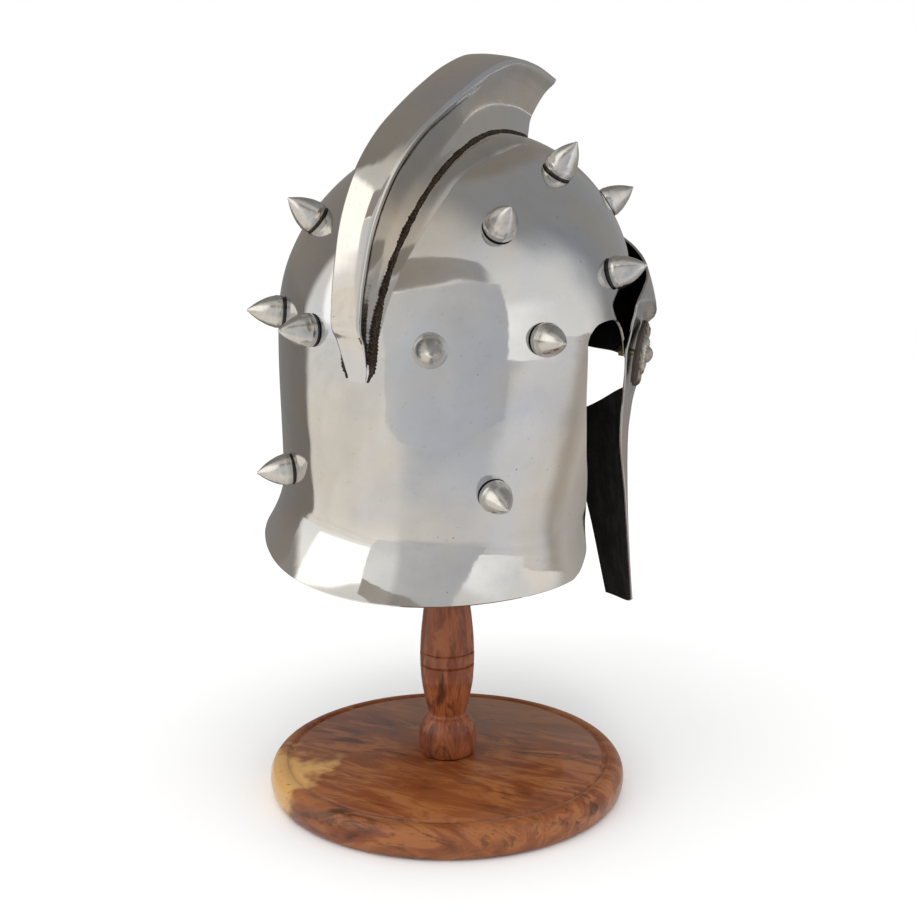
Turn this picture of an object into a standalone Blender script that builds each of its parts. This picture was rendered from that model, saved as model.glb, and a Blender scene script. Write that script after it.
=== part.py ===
"""Gladiator helmet on a turned wooden stand, as closed solids in one frame.

Metres, +Z up. Origin at the centre of the base's underside, the wearer's face towards -Y
and the wearer's left towards +X. The helmet's own frame is upright, and the lean that it has
on the stand is put on last, as one turn about the crown.
"""

import math

import bmesh
import bpy
from mathutils import Matrix, Vector

# driving sizes, metres
BASE_RADIUS = 0.110
BASE_HEIGHT = 0.0188
HELMET_FRONT = 0.161
HELMET_BACK = 0.115
HELMET_HALF_WIDTH = 0.108
RIM_HEIGHT = 0.1448
EQUATOR_HEIGHT = 0.2863
DOME_HEIGHT = 0.113
SHEET = 0.0015
GAP = 0.0003

# where the helmet sits on the stand
SEAT_Y = -0.0225
SEAT_X = -0.0026
PIVOT_HEIGHT = 0.380
TILT_BACK = math.radians(4.84)
LEAN_RIGHT = math.radians(8.17)

# form of the skull
APEX_SHIFT = 0.0234
PLAN_SQUARENESS = 0.048
WAIST = 0.0925
FLARE_HEIGHT = 0.034
FLARE_BACK = 0.0198
FLARE_SIDE = 0.0078
FLARE_POWER = 1.8
WALL = EQUATOR_HEIGHT - RIM_HEIGHT

# half angle of the neck guard from the back, against height as a share of the wall
EAR_EDGE = (
    (0.000, 82.0), (0.018, 87.5), (0.050, 92.0), (0.093, 94.3), (0.205, 93.4), (0.323, 90.6),
    (0.450, 86.2), (0.588, 81.0), (0.821, 75.3), (1.054, 72.3),
)
# lower edge of the skull ahead of the neck guard: angle from the front, height as a share of the wall
BROW_EDGE = (
    (107.7, 1.054), (106.6, 1.093), (102.7, 1.129), (94.7, 1.134), (90.0, 1.104), (86.4, 1.038),
    (83.8, 0.975), (81.3, 0.936), (75.0, 0.902), (62.0, 0.860), (45.0, 0.818), (24.0, 0.763), (0.0, 0.738),
)
BAND_RISE = 12.3

# comb: point on the skull's midline as an angle over the dome from the back, then the top edge
# as shares of the skull's back length and of the dome's height, then the half width of its band
COMB_FOOT_HALF = 0.0082
COMB_WAIST_HALF = 0.0066
COMB_LIP = 0.0042
COMB = (
    (-9.0, 0.800, -0.165, 0.0048), (-5.0, 0.835, -0.085, 0.0068), (0.0, 0.905, 0.045, 0.0082),
    (4.0, 0.962, 0.130, 0.0086), (11.0, 0.972, 0.295, 0.0088), (19.0, 0.958, 0.440, 0.0092),
    (27.0, 0.932, 0.580, 0.0098), (36.0, 0.872, 0.724, 0.0106), (46.0, 0.770, 0.868, 0.0116),
    (56.0, 0.602, 1.006, 0.0126), (65.0, 0.396, 1.118, 0.0136), (74.0, 0.165, 1.222, 0.0146),
    (83.0, -0.090, 1.318, 0.0152), (92.0, -0.375, 1.376, 0.0158), (101.0, -0.690, 1.352, 0.0162),
    (108.0, -0.960, 1.290, 0.0164),
)

# spikes: angle from the front towards the wearer's left, level of the foot's centre
SPIKE_RADIUS = 0.0096
SPIKE_FOOT = 0.0042
SPIKE_LENGTH = 0.0204
SPIKES = (
    (200.8, 1.042), (218.2, 1.600), (235.7, 1.107), (225.7, 0.442), (141.0, 0.354), (131.9, 1.012),
    (159.7, 1.022), (132.8, 1.495), (260.0, 1.851), (312.5, 1.634), (268.2, 1.388),
    (80.0, 1.829), (47.5, 1.634), (91.8, 1.388),
)

# face plate: angle from the front and height as a share of the wall at five marks of each row
MASK_STAND_OFF = 0.015
MASK_LOW_OFF = 0.0052
MASK_CHEEK_FLARE = 0.0190
MASK_SEAT = SHEET + GAP
SEAT_SLACK = 0.0006
SEAT_SPREAD = 0.0040
MASK_ROWS = (
    ((0.0, 1.392), (5.0, 1.391), (15.0, 1.385), (58.0, 1.318), (82.0, 1.253)),
    ((0.0, 1.250), (5.0, 1.248), (15.0, 1.240), (60.0, 1.200), (88.5, 1.200)),
    ((0.0, 1.080), (5.5, 1.076), (15.0, 1.062), (60.0, 1.080), (87.5, 1.110)),
    ((0.0, 0.905), (6.5, 0.890), (15.5, 0.868), (58.0, 0.895), (86.0, 1.000)),
    ((0.0, 0.740), (5.2, 0.740), (13.0, 0.700), (56.5, 0.835), (83.8, 0.900)),
    ((0.0, 0.560), (4.6, 0.560), (13.0, 0.520), (58.0, 0.780), (82.5, 0.800)),
    ((0.0, 0.400), (4.4, 0.412), (14.0, 0.360), (60.0, 0.715), (81.8, 0.700)),
    ((0.0, 0.200), (4.4, 0.200), (18.5, 0.180), (59.0, 0.520), (79.5, 0.560)),
    ((0.0, 0.000), (4.4, 0.000), (24.0, -0.010), (58.0, 0.280), (74.5, 0.370)),
    ((0.0, -0.20), (4.4, -0.20), (30.5, -0.215), (57.0, 0.050), (71.5, 0.150)),
    ((0.0, -0.50), (4.4, -0.50), (38.2, -0.505), (56.0, -0.390), (69.5, -0.262)),
)
MASK_COLUMNS = (2, 2, 6, 4)
MASK_EYE_TOP = 3
MASK_EYE_BOTTOM = 6

# temple fixings
TEMPLE_ANGLE = 79.5
TEMPLE_RISE = 0.0040
ROSETTE_RADIUS = 0.0205
ROSETTE_PETALS = 8
ROSETTE_DEPTH = 0.0040
BOLT_RADIUS = 0.0018
BOLT_BOSS = 0.0054
BOSS_HEIGHT = 0.0092
BOSS_LIFT = 0.0010
NUT_RADIUS = 0.0036
NUT_HEIGHT = 0.0034
BOLT_END = 0.0012

# stand
BASE_FOOT_INSET = 0.0040
BASE_TOP_INSET = 0.0070
GROOVE_RADIUS = 0.0982
GROOVE_WIDTH = 0.0036
GROOVE_DEPTH = 0.0011
POST_RADIUS = 0.0178
POST_NECK = 0.0120
POST_TURNED = 0.1312
POST_SEAT_DEPTH = 0.006
HEAD_RADIUS = 0.030
# turned part of the post: radius as a share of its largest, height as a share of the turned length
POST_PROFILE = (
    (0.843, 0.000), (0.944, 0.009), (1.000, 0.043), (0.994, 0.093), (0.944, 0.139), (0.787, 0.177),
    (0.669, 0.196), (0.685, 0.219), (0.798, 0.284), (0.888, 0.352), (0.927, 0.417), (0.938, 0.439),
    (0.882, 0.445), (0.938, 0.451), (0.944, 0.498), (0.888, 0.505), (0.938, 0.511), (0.910, 0.588),
    (0.843, 0.680), (0.775, 0.756), (0.719, 0.840), (0.685, 0.924), (0.674, 1.000),
)


def clear_scene():
    for item in list(bpy.data.objects):
        bpy.data.objects.remove(item, do_unlink=True)


def material(name, colour, metallic, roughness):
    made = bpy.data.materials.new(name)
    made.use_nodes = True
    shader = made.node_tree.nodes["Principled BSDF"]
    shader.inputs["Base Color"].default_value = (*colour, 1.0)
    shader.inputs["Metallic"].default_value = metallic
    shader.inputs["Roughness"].default_value = roughness
    return made


def smooth(value):
    value = min(1.0, max(0.0, value))
    return value * value * (3.0 - 2.0 * value)


def mix(low, high, share):
    return low + (high - low) * share


def curve(points, samples):
    """Points of a smooth curve through the given ones, with some samples in each stretch."""
    out = []
    last = len(points) - 1
    for i in range(last):
        before = points[max(0, i - 1)]
        after = points[min(last, i + 2)]
        for k in range(samples):
            t = k / samples
            row = []
            for a, b, c, d in zip(before, points[i], points[i + 1], after):
                row.append(0.5 * (2 * b + (c - a) * t + (2 * a - 5 * b + 4 * c - d) * t * t
                                  + (3 * b - a - 3 * c + d) * t ** 3))
            out.append(tuple(row))
    out.append(tuple(points[last]))
    return out


def at_level(level):
    """Height of a level: 0 to 1 runs from the rim to the equator, 1 to 2 from there to the crown."""
    if level <= 1.0:
        return RIM_HEIGHT + WALL * level
    return EQUATOR_HEIGHT + DOME_HEIGHT * (level - 1.0)


def skull_point(angle, height):
    """Point of the skull's outer face. The angle is in degrees from the front to the wearer's left."""
    turn = math.radians(angle)
    c = math.cos(turn)
    s = math.sin(turn)
    length = HELMET_FRONT if c > 0 else HELMET_BACK
    rise = min(1.0, max(0.0, (height - EQUATOR_HEIGHT) / DOME_HEIGHT))
    depth = (EQUATOR_HEIGHT - height) / WALL
    width = math.sqrt(max(0.0, 1.0 - rise * rise)) if rise > 0 else 1.0 - WAIST * smooth(depth)
    square = 1.0 - PLAN_SQUARENESS * (1.0 - math.cos(4.0 * turn)) / 2.0
    low = min(1.0, max(0.0, (RIM_HEIGHT + FLARE_HEIGHT - height) / FLARE_HEIGHT))
    back = c * c if c < 0 else 0.0
    flare = mix(FLARE_SIDE, FLARE_BACK, back) * low ** FLARE_POWER
    forward = c * (length * width * square + flare)
    side = s * (HELMET_HALF_WIDTH * width * square + flare)
    return Vector((SEAT_X + side, SEAT_Y - forward - APEX_SHIFT * rise * rise, height))


def skull_normal(angle, height):
    step = 0.0004
    top = min(height + step, EQUATOR_HEIGHT + DOME_HEIGHT - 0.00001)
    across = skull_point(angle + 0.3, height) - skull_point(angle - 0.3, height)
    up = skull_point(angle, top) - skull_point(angle, height - step)
    return across.cross(up).normalized()


def lean():
    """The turn that takes the upright helmet to how it hangs on the stand."""
    pivot = Matrix.Translation((SEAT_X, SEAT_Y, PIVOT_HEIGHT))
    back = Matrix.Rotation(-TILT_BACK, 4, "X")
    side = Matrix.Rotation(-LEAN_RIGHT, 4, "Y")
    return pivot @ side @ back @ pivot.inverted()


def add_mesh(name, verts, faces, look, leaning=True, sharp=35.0):
    mesh = bpy.data.meshes.new(name)
    mesh.from_pydata([tuple(v) for v in verts], [], faces)
    mesh.validate()
    work = bmesh.new()
    work.from_mesh(mesh)
    bmesh.ops.remove_doubles(work, verts=work.verts, dist=0.00002)
    bmesh.ops.recalc_face_normals(work, faces=work.faces)
    work.to_mesh(mesh)
    work.free()
    if leaning:
        mesh.transform(lean())
    made = bpy.data.objects.new(name, mesh)
    bpy.context.scene.collection.objects.link(made)
    mesh.materials.append(look)
    mesh.shade_smooth()
    mesh.set_sharp_from_angle(angle=math.radians(sharp))
    return made


def thicken(verts, faces, thickness):
    """Closes a sheet: the given faces stay as its outer side, and its edges get side faces."""
    normals = [Vector((0.0, 0.0, 0.0)) for _ in verts]
    for face in faces:
        corners = [verts[i] for i in face]
        if len(corners) == 4:
            area = (corners[2] - corners[0]).cross(corners[3] - corners[1])
        else:
            area = (corners[1] - corners[0]).cross(corners[2] - corners[0])
        for i in face:
            normals[i] += area
    count = len(verts)
    inner = [v - n.normalized() * thickness for v, n in zip(verts, normals)]
    edges = {}
    for face in faces:
        for a, b in zip(face, face[1:] + face[:1]):
            edges[(a, b)] = True
    sides = []
    for a, b in edges:
        if (b, a) not in edges:
            sides.append([b, a, a + count, b + count])
    back = [[i + count for i in reversed(face)] for face in faces]
    return list(verts) + inner, [list(f) for f in faces] + back + sides


def ear_half_angle(height):
    share = (height - RIM_HEIGHT) / WALL
    for (low, start), (high, end) in zip(EAR_EDGE, EAR_EDGE[1:]):
        if share <= high:
            return mix(start, end, min(1.0, max(0.0, (share - low) / (high - low))))
    return EAR_EDGE[-1][1]


def skull_sheet(front_samples, back_columns, band_rows, dome_rows):
    """Outer face of the skull above the neck guard as one grid of quads, with the brow edge in it."""
    front = curve(BROW_EDGE, front_samples)
    spring = RIM_HEIGHT + WALL * BROW_EDGE[0][1]
    half = EAR_EDGE[-1][1]
    columns = []
    for k in range(back_columns + 1):
        columns.append((180.0 - half + 2.0 * half * k / back_columns, spring))
    right = [(360.0 - a, RIM_HEIGHT + WALL * s) for a, s in front[1:]]
    left = [(a, RIM_HEIGHT + WALL * s) for a, s in reversed(front[1:-1])]
    columns += right + left
    band = EQUATOR_HEIGHT + DOME_HEIGHT * math.sin(math.radians(BAND_RISE))
    verts = []
    rows = []
    for j in range(band_rows):
        share = j / band_rows
        rows.append([len(verts) + k for k in range(len(columns))])
        verts += [skull_point(a, mix(low, band, share)) for a, low in columns]
    for j in range(dome_rows):
        rise = math.radians(mix(BAND_RISE, 90.0, j / dome_rows))
        rows.append([len(verts) + k for k in range(len(columns))])
        verts += [skull_point(a, EQUATOR_HEIGHT + DOME_HEIGHT * math.sin(rise)) for a, low in columns]
    faces = []
    count = len(columns)
    for lower, upper in zip(rows, rows[1:]):
        for k in range(count):
            n = (k + 1) % count
            faces.append([lower[k], lower[n], upper[n], upper[k]])
    apex = len(verts)
    verts.append(skull_point(0.0, EQUATOR_HEIGHT + DOME_HEIGHT))
    for k in range(count):
        faces.append([rows[-1][k], rows[-1][(k + 1) % count], apex])
    return verts, faces


def guard_sheet(back_columns, heights):
    """Outer face of the neck guard, from the seam under the skull to the flared rim."""
    verts = []
    faces = []
    rows = []
    for height in heights:
        half = ear_half_angle(height)
        rows.append([len(verts) + k for k in range(back_columns + 1)])
        for k in range(back_columns + 1):
            verts.append(skull_point(180.0 - half + 2.0 * half * k / back_columns, height))
    for upper, lower in zip(rows, rows[1:]):
        for k in range(back_columns):
            faces.append([lower[k], lower[k + 1], upper[k + 1], upper[k]])
    return verts, faces


def guard_heights(wall_steps, flare_steps, rim_shares):
    spring = RIM_HEIGHT + WALL * BROW_EDGE[0][1] - GAP
    start = RIM_HEIGHT + FLARE_HEIGHT
    heights = [mix(spring, start, k / wall_steps) for k in range(wall_steps + 1)]
    first = RIM_HEIGHT + WALL * rim_shares[0]
    heights += [mix(start, first, (k + 1) / flare_steps) for k in range(flare_steps)]
    heights += [RIM_HEIGHT + WALL * share for share in rim_shares[1:]]
    return heights


def make_skull(look):
    verts, faces = skull_sheet(1, 24, 2, 9)
    verts, faces = thicken(verts, faces, SHEET)
    return add_mesh("skull", verts, faces, look)


def make_guard(look):
    verts, faces = guard_sheet(24, guard_heights(6, 4, (0.050, 0.018, 0.0)))
    verts, faces = thicken(verts, faces, SHEET)
    return add_mesh("neck_guard", verts, faces, look)


def comb_station(values):
    """Foot and top of one section of the comb, in the helmet's midplane."""
    over, top_y, top_z, band = values
    rise = math.radians(over if over <= 90.0 else 180.0 - over)
    side = 180.0 if over <= 90.0 else 0.0
    height = EQUATOR_HEIGHT + DOME_HEIGHT * math.sin(rise)
    height = min(height, EQUATOR_HEIGHT + DOME_HEIGHT - 0.00002)
    foot = skull_point(side, height) + skull_normal(side, height) * GAP
    top = Vector((SEAT_X, top_y * HELMET_BACK, EQUATOR_HEIGHT + top_z * DOME_HEIGHT))
    return foot, top, band


def skull_drop(half_width, over):
    """How far the dome falls away beside its midline under the comb's foot."""
    roundness = 0.6 + 0.4 * abs(math.sin(math.radians(over)))
    return roundness * half_width * half_width / (2.0 * HELMET_HALF_WIDTH)


def comb_section(values):
    """Closed outline of the comb across its run: foot, hollow flanks, lip and crowned band."""
    foot, top, band = comb_station(values)
    rise = top - foot
    length = rise.length
    up = rise / max(length, 1e-6)
    across = Vector((1.0, 0.0, 0.0))
    foot_half = min(COMB_FOOT_HALF, band * 1.25)
    waist_half = min(COMB_WAIST_HALF, band * 0.9)
    lip = min(COMB_LIP, length * 0.35)
    drop = skull_drop(foot_half, values[0])
    half = (
        (foot_half, -drop), (foot_half * 0.90, length * 0.10), (waist_half, length * 0.34),
        (mix(waist_half, band, 0.42), length - lip - (length - lip) * 0.22), (band * 0.97, length - lip),
        (band, length - lip * 0.35), (band * 0.88, length), (band * 0.45, length + lip * 0.20),
    )
    right = [foot - across * w + up * h for w, h in half]
    left = [foot + across * w + up * h for w, h in reversed(half)]
    crown = foot + up * (length + lip * 0.26)
    return right + [crown] + left + [foot]


def comb_sheet(samples):
    rings = [comb_section(v) for v in curve(COMB, samples)]
    count = len(rings[0])
    verts = [p for ring in rings for p in ring]
    faces = []
    for i in range(len(rings) - 1):
        for k in range(count):
            n = (k + 1) % count
            faces.append([i * count + k, i * count + n, (i + 1) * count + n, (i + 1) * count + k])
    for ring in (0, len(rings) - 1):
        hub = len(verts)
        verts.append(sum((rings[ring][k] for k in range(count)), Vector()) / count)
        for k in range(count):
            faces.append([ring * count + k, ring * count + (k + 1) % count, hub])
    return verts, faces


def make_comb(look):
    verts, faces = comb_sheet(2)
    return add_mesh("comb", verts, faces, look)


def turned(profile, sides, frame):
    """Closed solid turned about the frame's Z from (radius, height) points, bottom first."""
    verts = []
    faces = []
    rings = []
    for radius, height in profile:
        if radius < 1e-6:
            rings.append([len(verts)] * sides)
            verts.append(frame @ Vector((0.0, 0.0, height)))
            continue
        rings.append([len(verts) + k for k in range(sides)])
        for k in range(sides):
            turn = 2.0 * math.pi * k / sides
            verts.append(frame @ Vector((radius * math.cos(turn), radius * math.sin(turn), height)))
    for lower, upper in zip(rings, rings[1:]):
        for k in range(sides):
            n = (k + 1) % sides
            corners = [lower[k], lower[n], upper[n], upper[k]]
            face = []
            for c in corners:
                if c not in face:
                    face.append(c)
            if len(face) > 2:
                faces.append(face)
    return verts, faces


def frame_on(point, direction):
    """A frame with its Z along the direction and its origin at the point."""
    turn = direction.to_track_quat("Z", "Y").to_matrix().to_4x4()
    return Matrix.Translation(point) @ turn


def spike_profile():
    """Short cylinder under a cone with slightly full sides and a blunt tip."""
    points = [(0.0, 0.0), (SPIKE_RADIUS, 0.0), (SPIKE_RADIUS, SPIKE_FOOT)]
    for width, share in ((0.86, 0.24), (0.56, 0.60), (0.10, 0.97)):
        points.append((SPIKE_RADIUS * width, mix(SPIKE_FOOT, SPIKE_LENGTH, share)))
    return points + [(0.0, SPIKE_LENGTH)]


def make_spikes(look):
    for number, (angle, level) in enumerate(SPIKES, 1):
        height = at_level(level)
        normal = skull_normal(angle, height)
        frame = frame_on(skull_point(angle, height) + normal * GAP, normal)
        verts, faces = turned(spike_profile(), 14, frame)
        add_mesh("spike_%02d" % number, verts, faces, look, sharp=30.0)


def temple_height():
    """Height of the fixings, a set rise over the skull's brow edge at their angle."""
    for (high, start), (low, end) in zip(BROW_EDGE, BROW_EDGE[1:]):
        if low <= TEMPLE_ANGLE <= high:
            share = mix(start, end, (high - TEMPLE_ANGLE) / (high - low))
    return RIM_HEIGHT + WALL * share + TEMPLE_RISE


def mask_body_off(angle, height):
    """Stand-off of the face plate away from its seats: full at the brow, close at the cheek, then flared."""
    level = (height - RIM_HEIGHT) / WALL
    if level > 1.076:
        base = MASK_STAND_OFF * (1.0 - 1.415 * (level - 1.076))
    else:
        base = mix(MASK_LOW_OFF, MASK_STAND_OFF, smooth((level - 0.673) / 0.403))
    if level < 0.588:
        base += MASK_CHEEK_FLARE * ((0.588 - level) / 0.848) ** 1.3
    return mix(base * 0.72 + SHEET * 0.67, base, math.sin(math.radians(min(90.0, angle))) ** 2)


def mask_stand_off(angle, height):
    """How far the face plate's outer side stands off the untapered skull."""
    level = (height - RIM_HEIGHT) / WALL
    rise = (height - temple_height()) / ROSETTE_RADIUS
    reach = math.hypot(math.radians(angle - TEMPLE_ANGLE) * HELMET_HALF_WIDTH / ROSETTE_RADIUS, rise)
    near = 1.0 - smooth((rise - 0.20) / 0.70) if rise > 0.0 else 1.0 - smooth((-rise - 0.34) / 0.68)
    waist = smooth((angle - 54.0) / 14.0) * near
    rear = smooth((angle - 70.0) / 15.0) * (1.0 - smooth((level - 1.083) / 0.184))
    disc = 1.0 - smooth((reach - 1.12) / 0.44)
    seat = 1.0 - (1.0 - waist) * (1.0 - rear) * (1.0 - disc)
    seat_off = MASK_SEAT + SEAT_SLACK + SEAT_SPREAD * smooth(rise / 1.27)
    return mix(mask_body_off(angle, height), seat_off, seat)


def mask_point(angle, height):
    turn = math.radians(angle)
    off = mask_stand_off(abs(angle), height)
    c = math.cos(turn)
    s = math.sin(turn)
    rise = min(1.0, max(0.0, (height - EQUATOR_HEIGHT) / DOME_HEIGHT))
    width = math.sqrt(max(0.0, 1.0 - rise * rise))
    square = 1.0 - PLAN_SQUARENESS * (1.0 - math.cos(4.0 * turn)) / 2.0
    length = HELMET_FRONT if c > 0 else HELMET_BACK
    forward = c * (length * width * square + off)
    side = s * (HELMET_HALF_WIDTH * width * square + off)
    return Vector((SEAT_X + side, SEAT_Y - forward - APEX_SHIFT * rise * rise, height))


def mask_half_rows(across, down):
    """Rows of (angle, height) from the centre line to the rear edge, with finer steps on request."""
    flat = [tuple(v for mark in row for v in mark) for row in MASK_ROWS]
    lines = curve(flat, down)
    rows = []
    for line in lines:
        marks = [(line[i], line[i + 1]) for i in range(0, len(line), 2)]
        row = []
        for i, steps in enumerate(MASK_COLUMNS):
            count = steps * across
            start = marks[i]
            end = marks[i + 1]
            before = marks[max(0, i - 1)] if i > 2 else start
            after = marks[min(len(marks) - 1, i + 2)] if i > 1 else end
            for k in range(count):
                t = k / count
                angle = mix(start[0], end[0], t)
                slope_in = (end[1] - before[1]) / max(end[0] - before[0], 1e-6) if i > 2 else None
                height = mix(start[1], end[1], t)
                if i == 2:
                    bend = (after[1] - start[1]) / max(after[0] - start[0], 1e-6)
                    straight = (end[1] - start[1]) / max(end[0] - start[0], 1e-6)
                    height += (bend - straight) * (end[0] - start[0]) * (t ** 3 - t ** 2)
                if i == 3 and slope_in is not None:
                    straight = (end[1] - start[1]) / max(end[0] - start[0], 1e-6)
                    height += (slope_in - straight) * (end[0] - start[0]) * (t ** 3 - 2 * t * t + t)
                row.append((angle, height))
        row.append(marks[-1])
        rows.append(row)
    return rows


def mask_sheet(across, down):
    """Outer face of the face plate: brow band, nasal and two cheek plates in one grid."""
    half = mask_half_rows(across, down)
    nasal = MASK_COLUMNS[0] * across
    inner = nasal + MASK_COLUMNS[1] * across
    outer = inner + MASK_COLUMNS[2] * across
    last = outer + MASK_COLUMNS[3] * across
    eye_top = MASK_EYE_TOP * down
    eye_bottom = MASK_EYE_BOTTOM * down
    verts = []
    grid = []
    for row in half:
        line = []
        for column in range(-last, last + 1):
            angle, share = row[abs(column)]
            sign = 1.0 if column >= 0 else -1.0
            line.append(len(verts))
            verts.append(mask_point(sign * angle, RIM_HEIGHT + WALL * share))
        grid.append(line)
    faces = []
    for j in range(len(half) - 1):
        for k in range(2 * last):
            column = min(abs(k - last), abs(k + 1 - last))
            brow = j < eye_top
            eye = eye_top <= j < eye_bottom
            cheek = j >= eye_bottom
            keep = brow or (eye and (column < nasal or column >= outer)) or (cheek and column >= inner)
            if keep:
                faces.append([grid[j + 1][k], grid[j + 1][k + 1], grid[j][k + 1], grid[j][k]])
    used = sorted({i for face in faces for i in face})
    place = {old: new for new, old in enumerate(used)}
    return [verts[i] for i in used], [[place[i] for i in face] for face in faces]


def temple_frame(side):
    """Frame of one temple fixing, on the face plate's outer side with Z outward."""
    angle = side * TEMPLE_ANGLE
    return frame_on(mask_point(angle, temple_height()), skull_normal(angle, temple_height()))


def rosette_lift():
    """Height over the temple at which a flat disc clears the face plate's curve."""
    inverse = temple_frame(1.0).inverted()
    most = 0.0
    for ring in (0.25, 0.5, 0.75, 1.0):
        for k in range(16):
            turn = 2.0 * math.pi * k / 16
            reach = ROSETTE_RADIUS * ring
            angle = TEMPLE_ANGLE + math.degrees(reach * math.cos(turn) / HELMET_HALF_WIDTH)
            spot = inverse @ mask_point(angle, temple_height() + reach * math.sin(turn))
            most = max(most, spot.z)
    return most + BOSS_LIFT


def nut_seat():
    """Depth along the fixing at which the nut's face meets the inside of the skull."""
    inverse = temple_frame(1.0).inverted()
    least = 0.0
    for i in range(-14, 15):
        for j in range(-14, 15):
            angle = TEMPLE_ANGLE + math.degrees(0.001 * i / HELMET_HALF_WIDTH)
            height = temple_height() + 0.001 * j
            spot = inverse @ (skull_point(angle, height) - skull_normal(angle, height) * SHEET)
            if math.hypot(spot.x, spot.y) < NUT_RADIUS + 0.0008:
                least = min(least, spot.z)
    return least - 2.0 * GAP


def cut(target, cutter):
    bpy.context.view_layer.update()
    step = target.modifiers.new("cut", "BOOLEAN")
    step.operation = "DIFFERENCE"
    step.solver = "EXACT"
    step.object = cutter
    cutter.hide_render = True
    cutter.display_type = "WIRE"
    graph = bpy.context.evaluated_depsgraph_get()
    made = bpy.data.meshes.new_from_object(target.evaluated_get(graph))
    target.modifiers.clear()
    old = target.data
    target.data = made
    bpy.data.meshes.remove(old)
    bpy.data.objects.remove(cutter, do_unlink=True)


def drill(target, side, radius, look):
    low = -2.0 * MASK_STAND_OFF
    high = MASK_STAND_OFF
    profile = ((0.0, low), (radius, low), (radius, high), (0.0, high))
    verts, faces = turned(profile, 12, temple_frame(side))
    cut(target, add_mesh("drill", verts, faces, look))


def make_mask(look):
    verts, faces = mask_sheet(1, 1)
    verts, faces = thicken(verts, faces, SHEET)
    return add_mesh("face_plate", verts, faces, look)


def rosette_height(radius, turn):
    """Height of the rosette's front over its back: dished petals round a raised ring."""
    share = radius / ROSETTE_RADIUS
    petal = 0.5 + 0.5 * math.cos(ROSETTE_PETALS * turn)
    ring = math.exp(-((share - 0.42) / 0.10) ** 2)
    dish = ROSETTE_DEPTH * (1.0 - 0.35 * share * share)
    raised = 0.32 * petal * smooth((share - 0.45) / 0.35) * (1.0 - 0.5 * smooth((share - 0.85) / 0.15))
    return dish + ROSETTE_DEPTH * (0.41 * ring + raised)


def rosette_edge(turn):
    petal = 0.5 + 0.5 * math.cos(ROSETTE_PETALS * turn)
    return ROSETTE_RADIUS * (0.90 + 0.10 * petal ** 0.6)


def rosette_solid(sides, rings, frame):
    verts = []
    faces = []
    hole = BOLT_BOSS + GAP
    lift = rosette_lift()
    loops = []
    for j in range(rings + 1):
        loop = []
        for k in range(sides):
            turn = 2.0 * math.pi * k / sides
            radius = mix(hole, rosette_edge(turn), j / rings)
            loop.append(len(verts))
            height = lift + rosette_height(radius, turn)
            verts.append(frame @ Vector((radius * math.cos(turn), radius * math.sin(turn), height)))
        loops.append(loop)
    for share in (1.0, 0.0):
        loop = []
        for k in range(sides):
            turn = 2.0 * math.pi * k / sides
            radius = mix(hole, rosette_edge(turn) * 0.985, share)
            loop.append(len(verts))
            verts.append(frame @ Vector((radius * math.cos(turn), radius * math.sin(turn), lift)))
        loops.append(loop)
    loops.append(loops[0])
    for lower, upper in zip(loops, loops[1:]):
        for k in range(sides):
            n = (k + 1) % sides
            faces.append([lower[k], lower[n], upper[n], upper[k]])
    return verts, faces


def make_rosette(side, name, look):
    verts, faces = rosette_solid(40, 5, temple_frame(side))
    return add_mesh(name, verts, faces, look, sharp=40.0)


def bolt_profile():
    """Bolt from its nut inside the skull to the round boss in the rosette's centre."""
    inside = nut_seat()
    lift = rosette_lift()
    end = inside - NUT_HEIGHT - BOLT_END
    return (
        (0.0, end), (BOLT_RADIUS, end), (BOLT_RADIUS, inside - NUT_HEIGHT), (NUT_RADIUS, inside - NUT_HEIGHT),
        (NUT_RADIUS, inside), (BOLT_RADIUS, inside), (BOLT_RADIUS, lift), (BOLT_BOSS, lift),
        (BOLT_BOSS, lift + BOSS_HEIGHT * 0.62), (BOLT_BOSS * 0.85, lift + BOSS_HEIGHT * 0.83),
        (BOLT_BOSS * 0.45, lift + BOSS_HEIGHT * 0.96), (0.0, lift + BOSS_HEIGHT),
    )


def make_bolt(side, name, look):
    verts, faces = turned(bolt_profile(), 12, temple_frame(side))
    return add_mesh(name, verts, faces, look, sharp=30.0)


def base_profile():
    top = BASE_HEIGHT
    edge = BASE_RADIUS
    well = POST_NECK + GAP
    g = GROOVE_RADIUS
    w = GROOVE_WIDTH / 2.0
    return (
        (0.0, 0.0), (edge - BASE_FOOT_INSET, 0.0), (edge - BASE_FOOT_INSET * 0.33, top * 0.117),
        (edge, top * 0.457), (edge - BASE_TOP_INSET * 0.17, top * 0.745),
        (edge - BASE_TOP_INSET * 0.60, top * 0.947), (edge - BASE_TOP_INSET, top),
        (g + w, top), (g + w * 0.4, top - GROOVE_DEPTH), (g - w * 0.4, top - GROOVE_DEPTH), (g - w, top),
        (well, top), (well, top - POST_SEAT_DEPTH), (0.0, top - POST_SEAT_DEPTH),
    )


def make_base(look):
    verts, faces = turned(base_profile(), 48, Matrix.Identity(4))
    return add_mesh("stand_base", verts, faces, look, leaning=False)


def head_top():
    """Height on the stand's axis at which the round head meets the inside of the crown."""
    turn = lean()
    top = EQUATOR_HEIGHT + DOME_HEIGHT
    for j in range(30):
        height = EQUATOR_HEIGHT + DOME_HEIGHT * math.sin(math.radians(mix(50.0, 89.5, j / 29.0)))
        for k in range(90):
            angle = 4.0 * k
            inner = skull_point(angle, height) - skull_normal(angle, height) * (SHEET + 2.0 * GAP)
            spot = turn @ inner
            reach = math.hypot(spot.x, spot.y)
            if reach < HEAD_RADIUS:
                top = min(top, spot.z + HEAD_RADIUS - math.sqrt(HEAD_RADIUS ** 2 - reach ** 2))
    return top


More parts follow.
